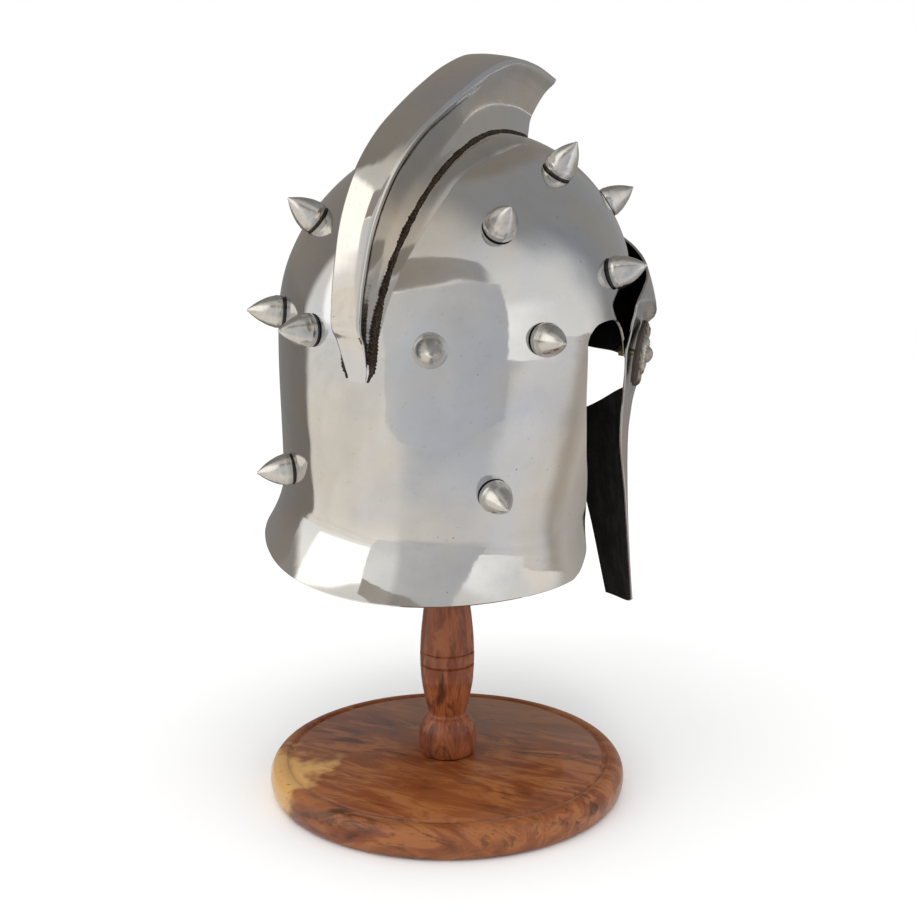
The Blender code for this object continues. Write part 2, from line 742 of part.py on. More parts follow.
def post_profile():
    top = head_top()
    start = BASE_HEIGHT - POST_SEAT_DEPTH + GAP
    points = [(0.0, start), (POST_NECK, start), (POST_NECK, BASE_HEIGHT + GAP)]
    points += [(POST_RADIUS * r, BASE_HEIGHT + GAP + POST_TURNED * h) for r, h in POST_PROFILE]
    centre = top - HEAD_RADIUS
    points.append((POST_NECK, centre - HEAD_RADIUS))
    points.append((mix(POST_NECK, HEAD_RADIUS, 0.33), centre - HEAD_RADIUS * 0.67))
    for k in range(6):
        turn = math.radians(mix(-32.0, 90.0, k / 6.0))
        points.append((HEAD_RADIUS * math.cos(turn), centre + HEAD_RADIUS * math.sin(turn)))
    points.append((0.0, top))
    return points


def make_post(look):
    verts, faces = turned(post_profile(), 20, Matrix.Identity(4))
    return add_mesh("stand_post", verts, faces, look, leaning=False)


def main():
    clear_scene()
    steel = material("polished_steel", (0.62, 0.62, 0.60), 1.0, 0.16)
    comb_steel = material("comb_steel", (0.60, 0.60, 0.58), 1.0, 0.18)
    spike_steel = material("spike_steel", (0.58, 0.58, 0.57), 1.0, 0.22)
    plate_steel = material("plate_steel", (0.56, 0.56, 0.55), 1.0, 0.22)
    cast = material("cast_nickel", (0.34, 0.32, 0.29), 1.0, 0.42)
    brass = material("old_brass", (0.42, 0.40, 0.20), 1.0, 0.40)
    base_wood = material("base_wood", (0.30, 0.10, 0.035), 0.0, 0.25)
    post_wood = material("post_wood", (0.28, 0.09, 0.03), 0.0, 0.25)
    skull = make_skull(steel)
    make_guard(steel)
    make_comb(comb_steel)
    make_spikes(spike_steel)
    mask = make_mask(plate_steel)
    for side, word in ((1.0, "left"), (-1.0, "right")):
        drill(skull, side, BOLT_RADIUS + GAP, steel)
        drill(mask, side, BOLT_RADIUS + GAP, plate_steel)
        make_rosette(side, "rosette_" + word, cast)
        make_bolt(side, "rosette_bolt_" + word, brass)
    make_base(base_wood)
    make_post(post_wood)


main()
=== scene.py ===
"""Dressed gladiator helmet on its turned wooden stand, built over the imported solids.

Metres, +Z up, the wearer's face towards -Y and the wearer's left towards +X. The helmet is
worked out upright and turned by lean() at the end, as in the solids.
"""

import math

import bmesh
import bpy
from mathutils import Matrix, Vector, kdtree, noise

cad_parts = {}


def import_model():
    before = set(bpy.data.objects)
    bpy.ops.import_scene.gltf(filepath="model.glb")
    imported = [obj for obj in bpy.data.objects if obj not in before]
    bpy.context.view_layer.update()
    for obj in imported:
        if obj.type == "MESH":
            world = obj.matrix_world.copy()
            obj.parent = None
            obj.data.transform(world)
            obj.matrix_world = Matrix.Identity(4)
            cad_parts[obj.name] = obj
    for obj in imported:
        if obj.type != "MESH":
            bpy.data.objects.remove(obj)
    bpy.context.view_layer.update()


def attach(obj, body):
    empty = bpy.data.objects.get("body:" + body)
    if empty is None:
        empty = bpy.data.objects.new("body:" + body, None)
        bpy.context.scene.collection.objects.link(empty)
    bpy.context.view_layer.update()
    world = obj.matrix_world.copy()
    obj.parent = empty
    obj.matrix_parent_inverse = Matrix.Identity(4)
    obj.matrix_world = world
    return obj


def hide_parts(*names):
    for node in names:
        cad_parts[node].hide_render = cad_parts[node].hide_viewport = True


# driving sizes, the same values as the solids
BASE_RADIUS = 0.110
BASE_HEIGHT = 0.0188
HELMET_FRONT = 0.161
HELMET_BACK = 0.115
HELMET_HALF_WIDTH = 0.108
RIM_HEIGHT = 0.1448
EQUATOR_HEIGHT = 0.2863
DOME_HEIGHT = 0.113
SHEET = 0.0015
GAP = 0.0003

# where the helmet sits on the stand
SEAT_Y = -0.0225
SEAT_X = -0.0026
PIVOT_HEIGHT = 0.380
TILT_BACK = math.radians(4.84)
LEAN_RIGHT = math.radians(8.17)

# form of the skull
APEX_SHIFT = 0.0234
PLAN_SQUARENESS = 0.048
WAIST = 0.0925
FLARE_HEIGHT = 0.034
FLARE_BACK = 0.0198
FLARE_SIDE = 0.0078
FLARE_POWER = 1.8
WALL = EQUATOR_HEIGHT - RIM_HEIGHT

# half angle of the neck guard from the back, against height as a share of the wall
EAR_EDGE = (
    (0.000, 82.0), (0.018, 87.5), (0.050, 92.0), (0.093, 94.3), (0.205, 93.4), (0.323, 90.6),
    (0.450, 86.2), (0.588, 81.0), (0.821, 75.3), (1.054, 72.3),
)
# lower edge of the skull ahead of the neck guard: angle from the front, height as a share of the wall
BROW_EDGE = (
    (107.7, 1.054), (106.6, 1.093), (102.7, 1.129), (94.7, 1.134), (90.0, 1.104), (86.4, 1.038),
    (83.8, 0.975), (81.3, 0.936), (75.0, 0.902), (62.0, 0.860), (45.0, 0.818), (24.0, 0.763), (0.0, 0.738),
)
BAND_RISE = 12.3

# comb: point on the skull's midline as an angle over the dome from the back, then the top edge
# as shares of the skull's back length and of the dome's height, then the half width of its band
COMB_FOOT_HALF = 0.0082
COMB_WAIST_HALF = 0.0066
COMB_LIP = 0.0042
COMB = (
    (-9.0, 0.800, -0.165, 0.0048), (-5.0, 0.835, -0.085, 0.0068), (0.0, 0.905, 0.045, 0.0082),
    (4.0, 0.962, 0.130, 0.0086), (11.0, 0.972, 0.295, 0.0088), (19.0, 0.958, 0.440, 0.0092),
    (27.0, 0.932, 0.580, 0.0098), (36.0, 0.872, 0.724, 0.0106), (46.0, 0.770, 0.868, 0.0116),
    (56.0, 0.602, 1.006, 0.0126), (65.0, 0.396, 1.118, 0.0136), (74.0, 0.165, 1.222, 0.0146),
    (83.0, -0.090, 1.318, 0.0152), (92.0, -0.375, 1.376, 0.0158), (101.0, -0.690, 1.352, 0.0162),
    (108.0, -0.960, 1.290, 0.0164),
)

# spikes: angle from the front towards the wearer's left, level of the foot's centre
SPIKE_RADIUS = 0.0096
SPIKE_FOOT = 0.0042
SPIKE_LENGTH = 0.0204
# side of the cone: share of the way to the tip, radius as a share of the foot's
SPIKE_SIDE = (
    (0.0, 0.972), (0.12, 0.925), (0.24, 0.862), (0.42, 0.725),
    (0.60, 0.560), (0.78, 0.350), (0.94, 0.125),
)
SPIKES = (
    (200.8, 1.042), (218.2, 1.600), (235.7, 1.107), (225.7, 0.442), (141.0, 0.354), (131.9, 1.012),
    (159.7, 1.022), (132.8, 1.495), (260.0, 1.851), (312.5, 1.634), (268.2, 1.388),
    (80.0, 1.829), (47.5, 1.634), (91.8, 1.388),
)

# face plate: angle from the front and height as a share of the wall at five marks of each row
MASK_STAND_OFF = 0.015
MASK_LOW_OFF = 0.0052
MASK_CHEEK_FLARE = 0.0190
MASK_SEAT = SHEET + GAP
SEAT_SLACK = 0.0006
SEAT_SPREAD = 0.0040
MASK_ROWS = (
    ((0.0, 1.392), (5.0, 1.391), (15.0, 1.385), (58.0, 1.318), (82.0, 1.253)),
    ((0.0, 1.250), (5.0, 1.248), (15.0, 1.240), (60.0, 1.200), (88.5, 1.200)),
    ((0.0, 1.080), (5.5, 1.076), (15.0, 1.062), (60.0, 1.080), (87.5, 1.110)),
    ((0.0, 0.905), (6.5, 0.890), (15.5, 0.868), (58.0, 0.895), (86.0, 1.000)),
    ((0.0, 0.740), (5.2, 0.740), (13.0, 0.700), (56.5, 0.835), (83.8, 0.900)),
    ((0.0, 0.560), (4.6, 0.560), (13.0, 0.520), (58.0, 0.780), (82.5, 0.800)),
    ((0.0, 0.400), (4.4, 0.412), (14.0, 0.360), (60.0, 0.715), (81.8, 0.700)),
    ((0.0, 0.200), (4.4, 0.200), (18.5, 0.180), (59.0, 0.520), (79.5, 0.560)),
    ((0.0, 0.000), (4.4, 0.000), (24.0, -0.010), (58.0, 0.280), (74.5, 0.370)),
    ((0.0, -0.20), (4.4, -0.20), (30.5, -0.215), (57.0, 0.050), (71.5, 0.150)),
    ((0.0, -0.50), (4.4, -0.50), (38.2, -0.505), (56.0, -0.390), (69.5, -0.262)),
)
MASK_COLUMNS = (2, 2, 6, 4)
MASK_EYE_TOP = 3
MASK_EYE_BOTTOM = 6

# temple fixings
TEMPLE_ANGLE = 79.5
TEMPLE_RISE = 0.0040
ROSETTE_RADIUS = 0.0205
ROSETTE_PETALS = 8
ROSETTE_DEPTH = 0.0040
BOLT_RADIUS = 0.0018
BOLT_BOSS = 0.0054
BOSS_HEIGHT = 0.0092
BOSS_LIFT = 0.0010
NUT_RADIUS = 0.0036
NUT_HEIGHT = 0.0034
BOLT_END = 0.0012

# stand
BASE_FOOT_INSET = 0.0040
BASE_TOP_INSET = 0.0070
GROOVE_RADIUS = 0.0982
GROOVE_WIDTH = 0.0036
GROOVE_DEPTH = 0.0011
POST_RADIUS = 0.0178
POST_NECK = 0.0120
POST_TURNED = 0.1312
POST_SEAT_DEPTH = 0.006
HEAD_RADIUS = 0.030
# turned part of the post: radius as a share of its largest, height as a share of the turned length
POST_PROFILE = (
    (0.843, 0.000), (0.944, 0.009), (1.000, 0.043), (0.994, 0.093), (0.944, 0.139), (0.787, 0.177),
    (0.669, 0.196), (0.685, 0.219), (0.798, 0.284), (0.888, 0.352), (0.927, 0.417), (0.938, 0.439),
    (0.882, 0.445), (0.938, 0.451), (0.944, 0.498), (0.888, 0.505), (0.938, 0.511), (0.910, 0.588),
    (0.843, 0.680), (0.775, 0.756), (0.719, 0.840), (0.685, 0.924), (0.674, 1.000),
)


def smooth(value):
    value = min(1.0, max(0.0, value))
    return value * value * (3.0 - 2.0 * value)


def mix(low, high, share):
    return low + (high - low) * share


def curve(points, samples):
    """Points of a smooth curve through the given ones, with some samples in each stretch."""
    out = []
    last = len(points) - 1
    for i in range(last):
        before = points[max(0, i - 1)]
        after = points[min(last, i + 2)]
        for k in range(samples):
            t = k / samples
            row = []
            for a, b, c, d in zip(before, points[i], points[i + 1], after):
                row.append(0.5 * (2 * b + (c - a) * t + (2 * a - 5 * b + 4 * c - d) * t * t
                                  + (3 * b - a - 3 * c + d) * t ** 3))
            out.append(tuple(row))
    out.append(tuple(points[last]))
    return out


def bridged(loops):
    """Faces between closed loops of vertex numbers, without corners that fall together."""
    faces = []
    for lower, upper in zip(loops, loops[1:]):
        for k in range(len(lower)):
            n = (k + 1) % len(lower)
            face = list(dict.fromkeys((lower[k], lower[n], upper[n], upper[k])))
            if len(face) > 2:
                faces.append(face)
    return faces


def ring_numbers(rings, sides):
    """Vertex numbers of rings laid down one after the other."""
    return [[j * sides + k for k in range(sides)] for j in range(rings)]


def turns(sides):
    """Equal steps of one full turn."""
    return [2.0 * math.pi * k / sides for k in range(sides)]


def polar(radius, turn, height):
    return Vector((radius * math.cos(turn), radius * math.sin(turn), height))


def capped(verts, faces, loop, hub):
    """Closes one end of a tube with a fan round a hub."""
    verts.append(hub)
    for k in range(len(loop)):
        faces.append([loop[k], loop[(k + 1) % len(loop)], len(verts) - 1])


def at_level(level):
    """Height of a level: 0 to 1 runs from the rim to the equator, 1 to 2 from there to the crown."""
    if level <= 1.0:
        return RIM_HEIGHT + WALL * level
    return EQUATOR_HEIGHT + DOME_HEIGHT * (level - 1.0)


def shell_point(angle, height, waist, off):
    """Point of the helmet's plan, drawn in by the waist's share and then set off outwards.

    The angle is in degrees from the front to the wearer's left.
    """
    turn = math.radians(angle)
    c = math.cos(turn)
    s = math.sin(turn)
    length = HELMET_FRONT if c > 0 else HELMET_BACK
    rise = min(1.0, max(0.0, (height - EQUATOR_HEIGHT) / DOME_HEIGHT))
    width = (1.0 - waist) * math.sqrt(max(0.0, 1.0 - rise * rise))
    square = 1.0 - PLAN_SQUARENESS * (1.0 - math.cos(4.0 * turn)) / 2.0
    forward = c * (length * width * square + off)
    side = s * (HELMET_HALF_WIDTH * width * square + off)
    return Vector((SEAT_X + side, SEAT_Y - forward - APEX_SHIFT * rise * rise, height))


def skull_point(angle, height):
    """Point of the skull's outer face, with the waist and the flared rim of its walls."""
    back = min(0.0, math.cos(math.radians(angle))) ** 2
    low = min(1.0, max(0.0, (RIM_HEIGHT + FLARE_HEIGHT - height) / FLARE_HEIGHT))
    flare = mix(FLARE_SIDE, FLARE_BACK, back) * low ** FLARE_POWER
    return shell_point(angle, height, WAIST * smooth((EQUATOR_HEIGHT - height) / WALL), flare)


def skull_normal(angle, height):
    step = 0.0004
    top = min(height + step, EQUATOR_HEIGHT + DOME_HEIGHT - 0.00001)
    across = skull_point(angle + 0.3, height) - skull_point(angle - 0.3, height)
    up = skull_point(angle, top) - skull_point(angle, height - step)
    return across.cross(up).normalized()


def lean():
    """The turn that takes the upright helmet to how it hangs on the stand."""
    pivot = Matrix.Translation((SEAT_X, SEAT_Y, PIVOT_HEIGHT))
    back = Matrix.Rotation(-TILT_BACK, 4, "X")
    side = Matrix.Rotation(-LEAN_RIGHT, 4, "Y")
    return pivot @ side @ back @ pivot.inverted()


# how finely the shown pieces are meshed
BACK_COLUMNS = 150
FRONT_SAMPLES = 7
DOME_ROWS = 80
WALL_ROWS = 44
FLARE_ROWS = 22
RIM_ROWS = 6
BAND_ROWS = 8
COMB_SAMPLES = 9
WELD_SIDES = 12
MASK_ACROSS = 3
MASK_DOWN = 7
SPIKE_SIDES = 48
ROSETTE_SIDES = 160
ROSETTE_RINGS = 26
BOLT_SIDES = 40
BOLT_THREADS = 14
BASE_SIDES = 160
POST_SIDES = 80
# rows of the base's profile that keep a sharp edge
BASE_CORNERS = [1, 6, 7, 10, 11, 12]
# how deep in the casting's shade the boss counts
BOSS_DULLNESS = 0.42
# share of the wall at the rim with closer rows
RIM_ZONE = 0.05

# heights between which the painted highlight on the flared rim fades out, and its edge by the back seam
FLARE_HIGHLIGHT_HEIGHTS = (0.150, 0.186)
HIGHLIGHT_SEAM_SIDE = (-0.0015, 0.0045)

UP = Vector((0.0, 0.0, 1.0))

# hand work left in the sheet: height of the hammered waves, metres
HAMMER = 0.00042
COMB_HAMMER = 0.00022
PLATE_HAMMER = 0.0003
COMB_SINK = 0.0006
WELD_RADIUS = 0.0014
WELD_LUMP = 0.00035
WELD_PUDDLE = 0.0021
EDGE_ROUND = 0.00035


def hammered(point, depth):
    """Height of the waves that hammering and polishing leave in the sheet."""
    height = 0.0
    for part, scale, seed in ((0.70, 13.0, 1.0), (0.34, 31.0, 2.0), (0.10, 70.0, 3.0)):
        height += part * noise.noise(point * scale + Vector((seed, 3.1 * seed, 7.7)))
    return depth * height


EAR_LINE = curve(EAR_EDGE, 6)


def ear_half_angle(height):
    share = (height - RIM_HEIGHT) / WALL
    for (low, start), (high, end) in zip(EAR_LINE, EAR_LINE[1:]):
        if share <= high:
            return mix(start, end, min(1.0, max(0.0, (share - low) / (high - low))))
    return EAR_LINE[-1][1]


def wall_heights():
    """Heights of the rows of the neck guard below the brow edge, closer at the flare and the rim."""
    spring = RIM_HEIGHT + WALL * BROW_EDGE[0][1]
    start = RIM_HEIGHT + FLARE_HEIGHT
    heights = [mix(spring, start, (k + 1) / WALL_ROWS) for k in range(WALL_ROWS)]
    first = RIM_HEIGHT + WALL * RIM_ZONE
    heights += [mix(start, first, (k + 1) / FLARE_ROWS) for k in range(FLARE_ROWS)]
    for k in range(RIM_ROWS):
        heights.append(mix(first, RIM_HEIGHT, math.sin(math.radians(90.0 * (k + 1) / RIM_ROWS))))
    return heights


def across_back(column, half):
    """Angle of a column of the neck guard, which reaches half to each side of the back."""
    return 180.0 - half + 2.0 * half * column / BACK_COLUMNS


def skull_sheet():
    """Outer face of the skull as one grid of quads, with the ear cuts and the brow edge in it."""
    front = curve(BROW_EDGE, FRONT_SAMPLES)
    spring = RIM_HEIGHT + WALL * BROW_EDGE[0][1]
    half = EAR_EDGE[-1][1]
    columns = [(across_back(k, half), spring) for k in range(BACK_COLUMNS + 1)]
    right = [(360.0 - a, RIM_HEIGHT + WALL * s) for a, s in front[1:]]
    left = [(a, RIM_HEIGHT + WALL * s) for a, s in reversed(front[1:-1])]
    columns += right + left
    band = EQUATOR_HEIGHT + DOME_HEIGHT * math.sin(math.radians(BAND_RISE))
    verts = []
    for j in range(BAND_ROWS):
        verts += [skull_point(a, mix(low, band, j / BAND_ROWS)) for a, low in columns]
    for j in range(DOME_ROWS):
        rise = math.radians(mix(BAND_RISE, 90.0, j / DOME_ROWS))
        verts += [skull_point(a, EQUATOR_HEIGHT + DOME_HEIGHT * math.sin(rise)) for a, low in columns]
    rows = ring_numbers(BAND_ROWS + DOME_ROWS, len(columns))
    faces = bridged(rows)
    capped(verts, faces, rows[-1], skull_point(0.0, EQUATOR_HEIGHT + DOME_HEIGHT))
    above = rows[0][:BACK_COLUMNS + 1]
    for height in wall_heights():
        below = [len(verts) + k for k in range(BACK_COLUMNS + 1)]
        for k in range(BACK_COLUMNS + 1):
            verts.append(skull_point(across_back(k, ear_half_angle(height)), height))
        for k in range(BACK_COLUMNS):
            faces.append([below[k], below[k + 1], above[k + 1], above[k]])
        above = below
    return verts, faces


def face_normals(verts, faces):
    normals = [Vector((0.0, 0.0, 0.0)) for _ in verts]
    for face in faces:
        corners = [verts[i] for i in face]
        if len(corners) == 4:
            area = (corners[2] - corners[0]).cross(corners[3] - corners[1])
        else:
            area = (corners[1] - corners[0]).cross(corners[2] - corners[0])
        for i in face:
            normals[i] += area
    return [n.normalized() for n in normals]


def closed_sheet(verts, faces, thickness):
    """Closes a sheet with a rounded edge: vertices, faces and marks of the faces on the inner side."""
    normals = face_normals(verts, faces)
    count = len(verts)
    inner = [v - n * thickness for v, n in zip(verts, normals)]
    edges = {}
    for face in faces:
        for a, b in zip(face, face[1:] + face[:1]):
            edges[(a, b)] = face
    rim = [(a, b) for a, b in edges if (b, a) not in edges]
    outward = {}
    for a, b in rim:
        along = (verts[b] - verts[a]).normalized()
        out = along.cross(normals[a])
        for i in (a, b):
            outward[i] = outward.get(i, Vector((0.0, 0.0, 0.0))) + out
    everything = list(verts) + inner
    middle = {}
    for i, out in outward.items():
        middle[i] = len(everything)
        everything.append((verts[i] + inner[i]) / 2.0 + out.normalized() * EDGE_ROUND)
    out_faces = [list(f) for f in faces]
    inner_faces = [[i + count for i in reversed(face)] for face in faces]
    sides = []
    for a, b in rim:
        sides.append([b, a, middle[a], middle[b]])
        sides.append([middle[b], middle[a], a + count, b + count])
    marks = [0] * len(out_faces) + [1] * len(inner_faces) + [0] * len(sides)
    return everything, out_faces + inner_faces + sides, marks


def add_piece(name, verts, faces, looks, node, leaning=True, sharp=50.0, marks=None, values=None):
    """A shown piece of the object: a smooth mesh that rides on the part and stands for a solid."""
    mesh = bpy.data.meshes.new(name)
    mesh.from_pydata([tuple(v) for v in verts], [], faces)
    for look in looks:
        mesh.materials.append(look)
    if marks:
        mesh.polygons.foreach_set("material_index", marks)
    for label, numbers in (values or {}).items():
        layer = mesh.attributes.new(label, "FLOAT", "POINT")
        layer.data.foreach_set("value", numbers)
    work = bmesh.new()
    work.from_mesh(mesh)
    bmesh.ops.remove_doubles(work, verts=work.verts, dist=0.000002)
    bmesh.ops.recalc_face_normals(work, faces=work.faces)
    work.to_mesh(mesh)
    work.free()
    if leaning:
        mesh.transform(lean())
    made = bpy.data.objects.new(name, mesh)
    bpy.context.scene.collection.objects.link(made)
    mesh.shade_smooth()
    mesh.set_sharp_from_angle(angle=math.radians(sharp))
    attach(made, "root")
    if node:
        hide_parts(*([node] if isinstance(node, str) else node))


def weld_tree(paths):
    points = [p for path in paths for p in path]
    tree = kdtree.KDTree(len(points))
    for i, p in enumerate(points):
        tree.insert(p, i)
    tree.balance()
    return tree


def heat_near(verts, tree, reach):
    """Share of weld heat at each point, one on the seam and fading over the reach."""
    out = []
    for v in verts:
        distance = tree.find(v)[2]
        out.append(math.exp(-max(0.0, distance - 0.0012) / reach))
    return out


def make_skull(looks, tree):
    verts, faces = skull_sheet()
    normals = face_normals(verts, faces)
    verts = [v + n * hammered(v, HAMMER) for v, n in zip(verts, normals)]
    verts, faces, marks = closed_sheet(verts, faces, SHEET)
    heat = heat_near(verts, tree, 0.0034)
    add_piece("helmet_skull", verts, faces, looks, ("skull", "neck_guard"),
              marks=marks, values={"heat": heat})


def comb_frame(values):
    """Foot, way up, length, half width of the foot and how far the dome falls away beside it."""
    over, top_y, top_z, band = values
    rise = math.radians(over if over <= 90.0 else 180.0 - over)
    side = 180.0 if over <= 90.0 else 0.0
    height = EQUATOR_HEIGHT + DOME_HEIGHT * math.sin(rise)
    height = min(height, EQUATOR_HEIGHT + DOME_HEIGHT - 0.00002)
    foot = skull_point(side, height) + skull_normal(side, height) * GAP
    line = Vector((SEAT_X, top_y * HELMET_BACK, EQUATOR_HEIGHT + top_z * DOME_HEIGHT)) - foot
    half = min(COMB_FOOT_HALF, band * 1.25)
    roundness = 0.6 + 0.4 * abs(math.sin(math.radians(over)))
    drop = roundness * half * half / (2.0 * HELMET_HALF_WIDTH)
    return foot, line / max(line.length, 1e-6), line.length, half, drop


def comb_section(values):
    """Closed outline of the comb across its run: foot, hollow flanks, rounded lip and crowned band."""
    foot, up, length, foot_half, drop = comb_frame(values)
    band = values[3]
    waist_half = min(COMB_WAIST_HALF, band * 0.9)
    lip = min(COMB_LIP, length * 0.35)
    across = Vector((1.0, 0.0, 0.0))
    flank = curve((
        (foot_half, -drop), (foot_half * 0.90, length * 0.10), (waist_half, length * 0.34),
        (mix(waist_half, band, 0.42), length - lip - (length - lip) * 0.22), (band * 0.97, length - lip),
    ), 6)
    edge = curve(((band * 0.97, length - lip), (band, length - lip * 0.35), (band * 0.88, length)), 4)[1:]
    peak = length + lip * 0.26
    crown = curve(((band * 0.88, length), (band * 0.45, length + lip * 0.20), (0.0, peak)), 5)[1:-1]
    half = flank + edge + crown
    right = [foot - across * w + up * h for w, h in half]
    left = [foot + across * w + up * h for w, h in reversed(half)]
    return right + [foot + up * peak] + left + [foot - up * COMB_SINK]


def lofted(rings, hubs):
    """Closed solid through rings of points, with a fan round a hub at each end."""
    verts = [p for ring in rings for p in ring]
    loops = ring_numbers(len(rings), len(rings[0]))
    faces = bridged(loops)
    for end, hub in zip((0, -1), hubs):
        capped(verts, faces, loops[end], hub)
    return verts, faces


def weld_path(side):
    """Line of the weld along one side of the comb's foot."""
    path = []
    for values in curve(COMB, 14):
        foot, up, _, foot_half, drop = comb_frame(values)
        path.append(foot + Vector((side * (foot_half + 0.0004), 0.0, 0.0)) - up * (drop + 0.0002))
    return path


def make_comb(look, tree):
    rings = [comb_section(v) for v in curve(COMB, COMB_SAMPLES)]
    verts, faces = lofted(rings, [sum(ring, Vector()) / len(ring) for ring in (rings[0], rings[-1])])
    normals = face_normals(verts, faces)
    verts = [v - n * hammered(v * 1.3, COMB_HAMMER) for v, n in zip(verts, normals)]
    heat = heat_near(verts, tree, 0.0040)
    add_piece("helmet_comb", verts, faces, [look], "comb",
              sharp=42.0, values={"heat": heat})


def tube(path, radii, sides, lump):
    """Closed tube along a path whose radius and skin vary from ring to ring."""
    rings = []
    last = len(path) - 1
    for i, (point, radius) in enumerate(zip(path, radii)):
        along = (path[min(last, i + 1)] - path[max(0, i - 1)]).normalized()
        first = along.orthogonal().normalized()
        if i:
            first = (before - along * before.dot(along)).normalized()
        before = first
        second = along.cross(first)
        ring = []
        for turn in turns(sides):
            way = first * math.cos(turn) + second * math.sin(turn)
            spot = point + way * radius
            ring.append(spot + way * lump * noise.noise(spot * 900.0))
        rings.append(ring)
    return lofted(rings, [path[0], path[-1]])


def make_weld(side, name, look):
    """Rough bead left where the comb is welded on, in short overlapping puddles."""
    path = curve([tuple(p) for p in weld_path(side)], 3)
    path = [Vector(p) for p in path]
    run = 0.0
    radii = []
    whole = sum((b - a).length for a, b in zip(path, path[1:]))
    for i, point in enumerate(path):
        if i:
            run += (point - path[i - 1]).length
        puddle = 0.5 + 0.5 * math.cos(2.0 * math.pi * run / WELD_PUDDLE)
        taper = smooth(run / 0.012) * smooth((whole - run) / 0.006)
        size = 0.80 + 0.16 * puddle + 0.30 * noise.noise(point * 160.0)
        low_down = 1.0 + 0.75 * smooth((0.3 * whole - run) / (0.25 * whole))
        radii.append(WELD_RADIUS * low_down * mix(0.25, size, taper))
    verts, faces = tube(path, radii, WELD_SIDES, WELD_LUMP)
    add_piece(name, verts, faces, [look], None)


def turned(profile, sides, frame):
    """Closed solid turned about the frame's Z from (radius, height) points, bottom first."""
    verts = []
    rings = []
    for radius, height in profile:
        if radius < 1e-6:
            rings.append([len(verts)] * sides)
            verts.append(frame @ Vector((0.0, 0.0, height)))
            continue
        rings.append([len(verts) + k for k in range(sides)])
        verts += [frame @ polar(radius, turn, height) for turn in turns(sides)]
    return verts, bridged(rings)


def frame_on(point, direction):
    """A frame with its Z along the direction and its origin at the point."""
    turn = direction.to_track_quat("Z", "Y").to_matrix().to_4x4()
    return Matrix.Translation(point) @ turn


def spike_profile():
    """Foot disc, a straight foot, a crisp shoulder and a full-sided cone with a blunt tip."""
    foot = SPIKE_RADIUS
    points = [(0.0, -0.0008), (foot * 0.93, -0.0008), (foot * 0.93, 0.0004), (foot * 0.985, 0.0005)]
    points += [(foot, 0.0009), (foot, SPIKE_FOOT - 0.0005), (foot * 0.985, SPIKE_FOOT)]
    for share, width in curve(SPIKE_SIDE, 3)[1:]:
        points.append((foot * width, mix(SPIKE_FOOT, SPIKE_LENGTH, share)))
    points.append((foot * 0.085, mix(SPIKE_FOOT, SPIKE_LENGTH, 0.985)))
    return points + [(foot * 0.04, SPIKE_LENGTH), (0.0, SPIKE_LENGTH)]


def make_spikes(look):
    profile = spike_profile()
    for number, (angle, level) in enumerate(SPIKES, 1):
        height = at_level(level)
        normal = skull_normal(angle, height)
        frame = frame_on(skull_point(angle, height) + normal * GAP, normal)
        verts, faces = turned(profile, SPIKE_SIDES, frame)
        along = [(frame.inverted() @ v).z / SPIKE_LENGTH for v in verts]
        node = "spike_%02d" % number
        add_piece("cone_" + node, verts, faces, [look], node,
                  sharp=34.0, values={"along": along})


def temple_height():
    """Height of the fixings, a set rise over the skull's brow edge at their angle."""
    for (high, start), (low, end) in zip(BROW_EDGE, BROW_EDGE[1:]):
        if low <= TEMPLE_ANGLE <= high:
            share = mix(start, end, (high - TEMPLE_ANGLE) / (high - low))
    return RIM_HEIGHT + WALL * share + TEMPLE_RISE


def mask_body_off(angle, height):
    """Stand-off of the face plate away from its seats: full at the brow, close at the cheek, then flared."""
    level = (height - RIM_HEIGHT) / WALL
    if level > 1.076:
        base = MASK_STAND_OFF * (1.0 - 1.415 * (level - 1.076))
    else:
        base = mix(MASK_LOW_OFF, MASK_STAND_OFF, smooth((level - 0.673) / 0.403))
    if level < 0.588:
        base += MASK_CHEEK_FLARE * ((0.588 - level) / 0.848) ** 1.3
    return mix(base * 0.72 + SHEET * 0.67, base, math.sin(math.radians(min(90.0, angle))) ** 2)


def mask_stand_off(angle, height):
    """How far the face plate's outer side stands off the untapered skull."""
    level = (height - RIM_HEIGHT) / WALL
    rise = (height - temple_height()) / ROSETTE_RADIUS
    reach = math.hypot(math.radians(angle - TEMPLE_ANGLE) * HELMET_HALF_WIDTH / ROSETTE_RADIUS, rise)
    near = 1.0 - smooth((rise - 0.20) / 0.70) if rise > 0.0 else 1.0 - smooth((-rise - 0.34) / 0.68)
    waist = smooth((angle - 54.0) / 14.0) * near
    rear = smooth((angle - 70.0) / 15.0) * (1.0 - smooth((level - 1.083) / 0.184))
    disc = 1.0 - smooth((reach - 1.12) / 0.44)
    seat = 1.0 - (1.0 - waist) * (1.0 - rear) * (1.0 - disc)
    seat_off = MASK_SEAT + SEAT_SLACK + SEAT_SPREAD * smooth(rise / 1.27)
    return mix(mask_body_off(angle, height), seat_off, seat)


def mask_point(angle, height):
    return shell_point(angle, height, 0.0, mask_stand_off(abs(angle), height))


def slope(start, end):
    return (end[1] - start[1]) / max(end[0] - start[0], 1e-6)


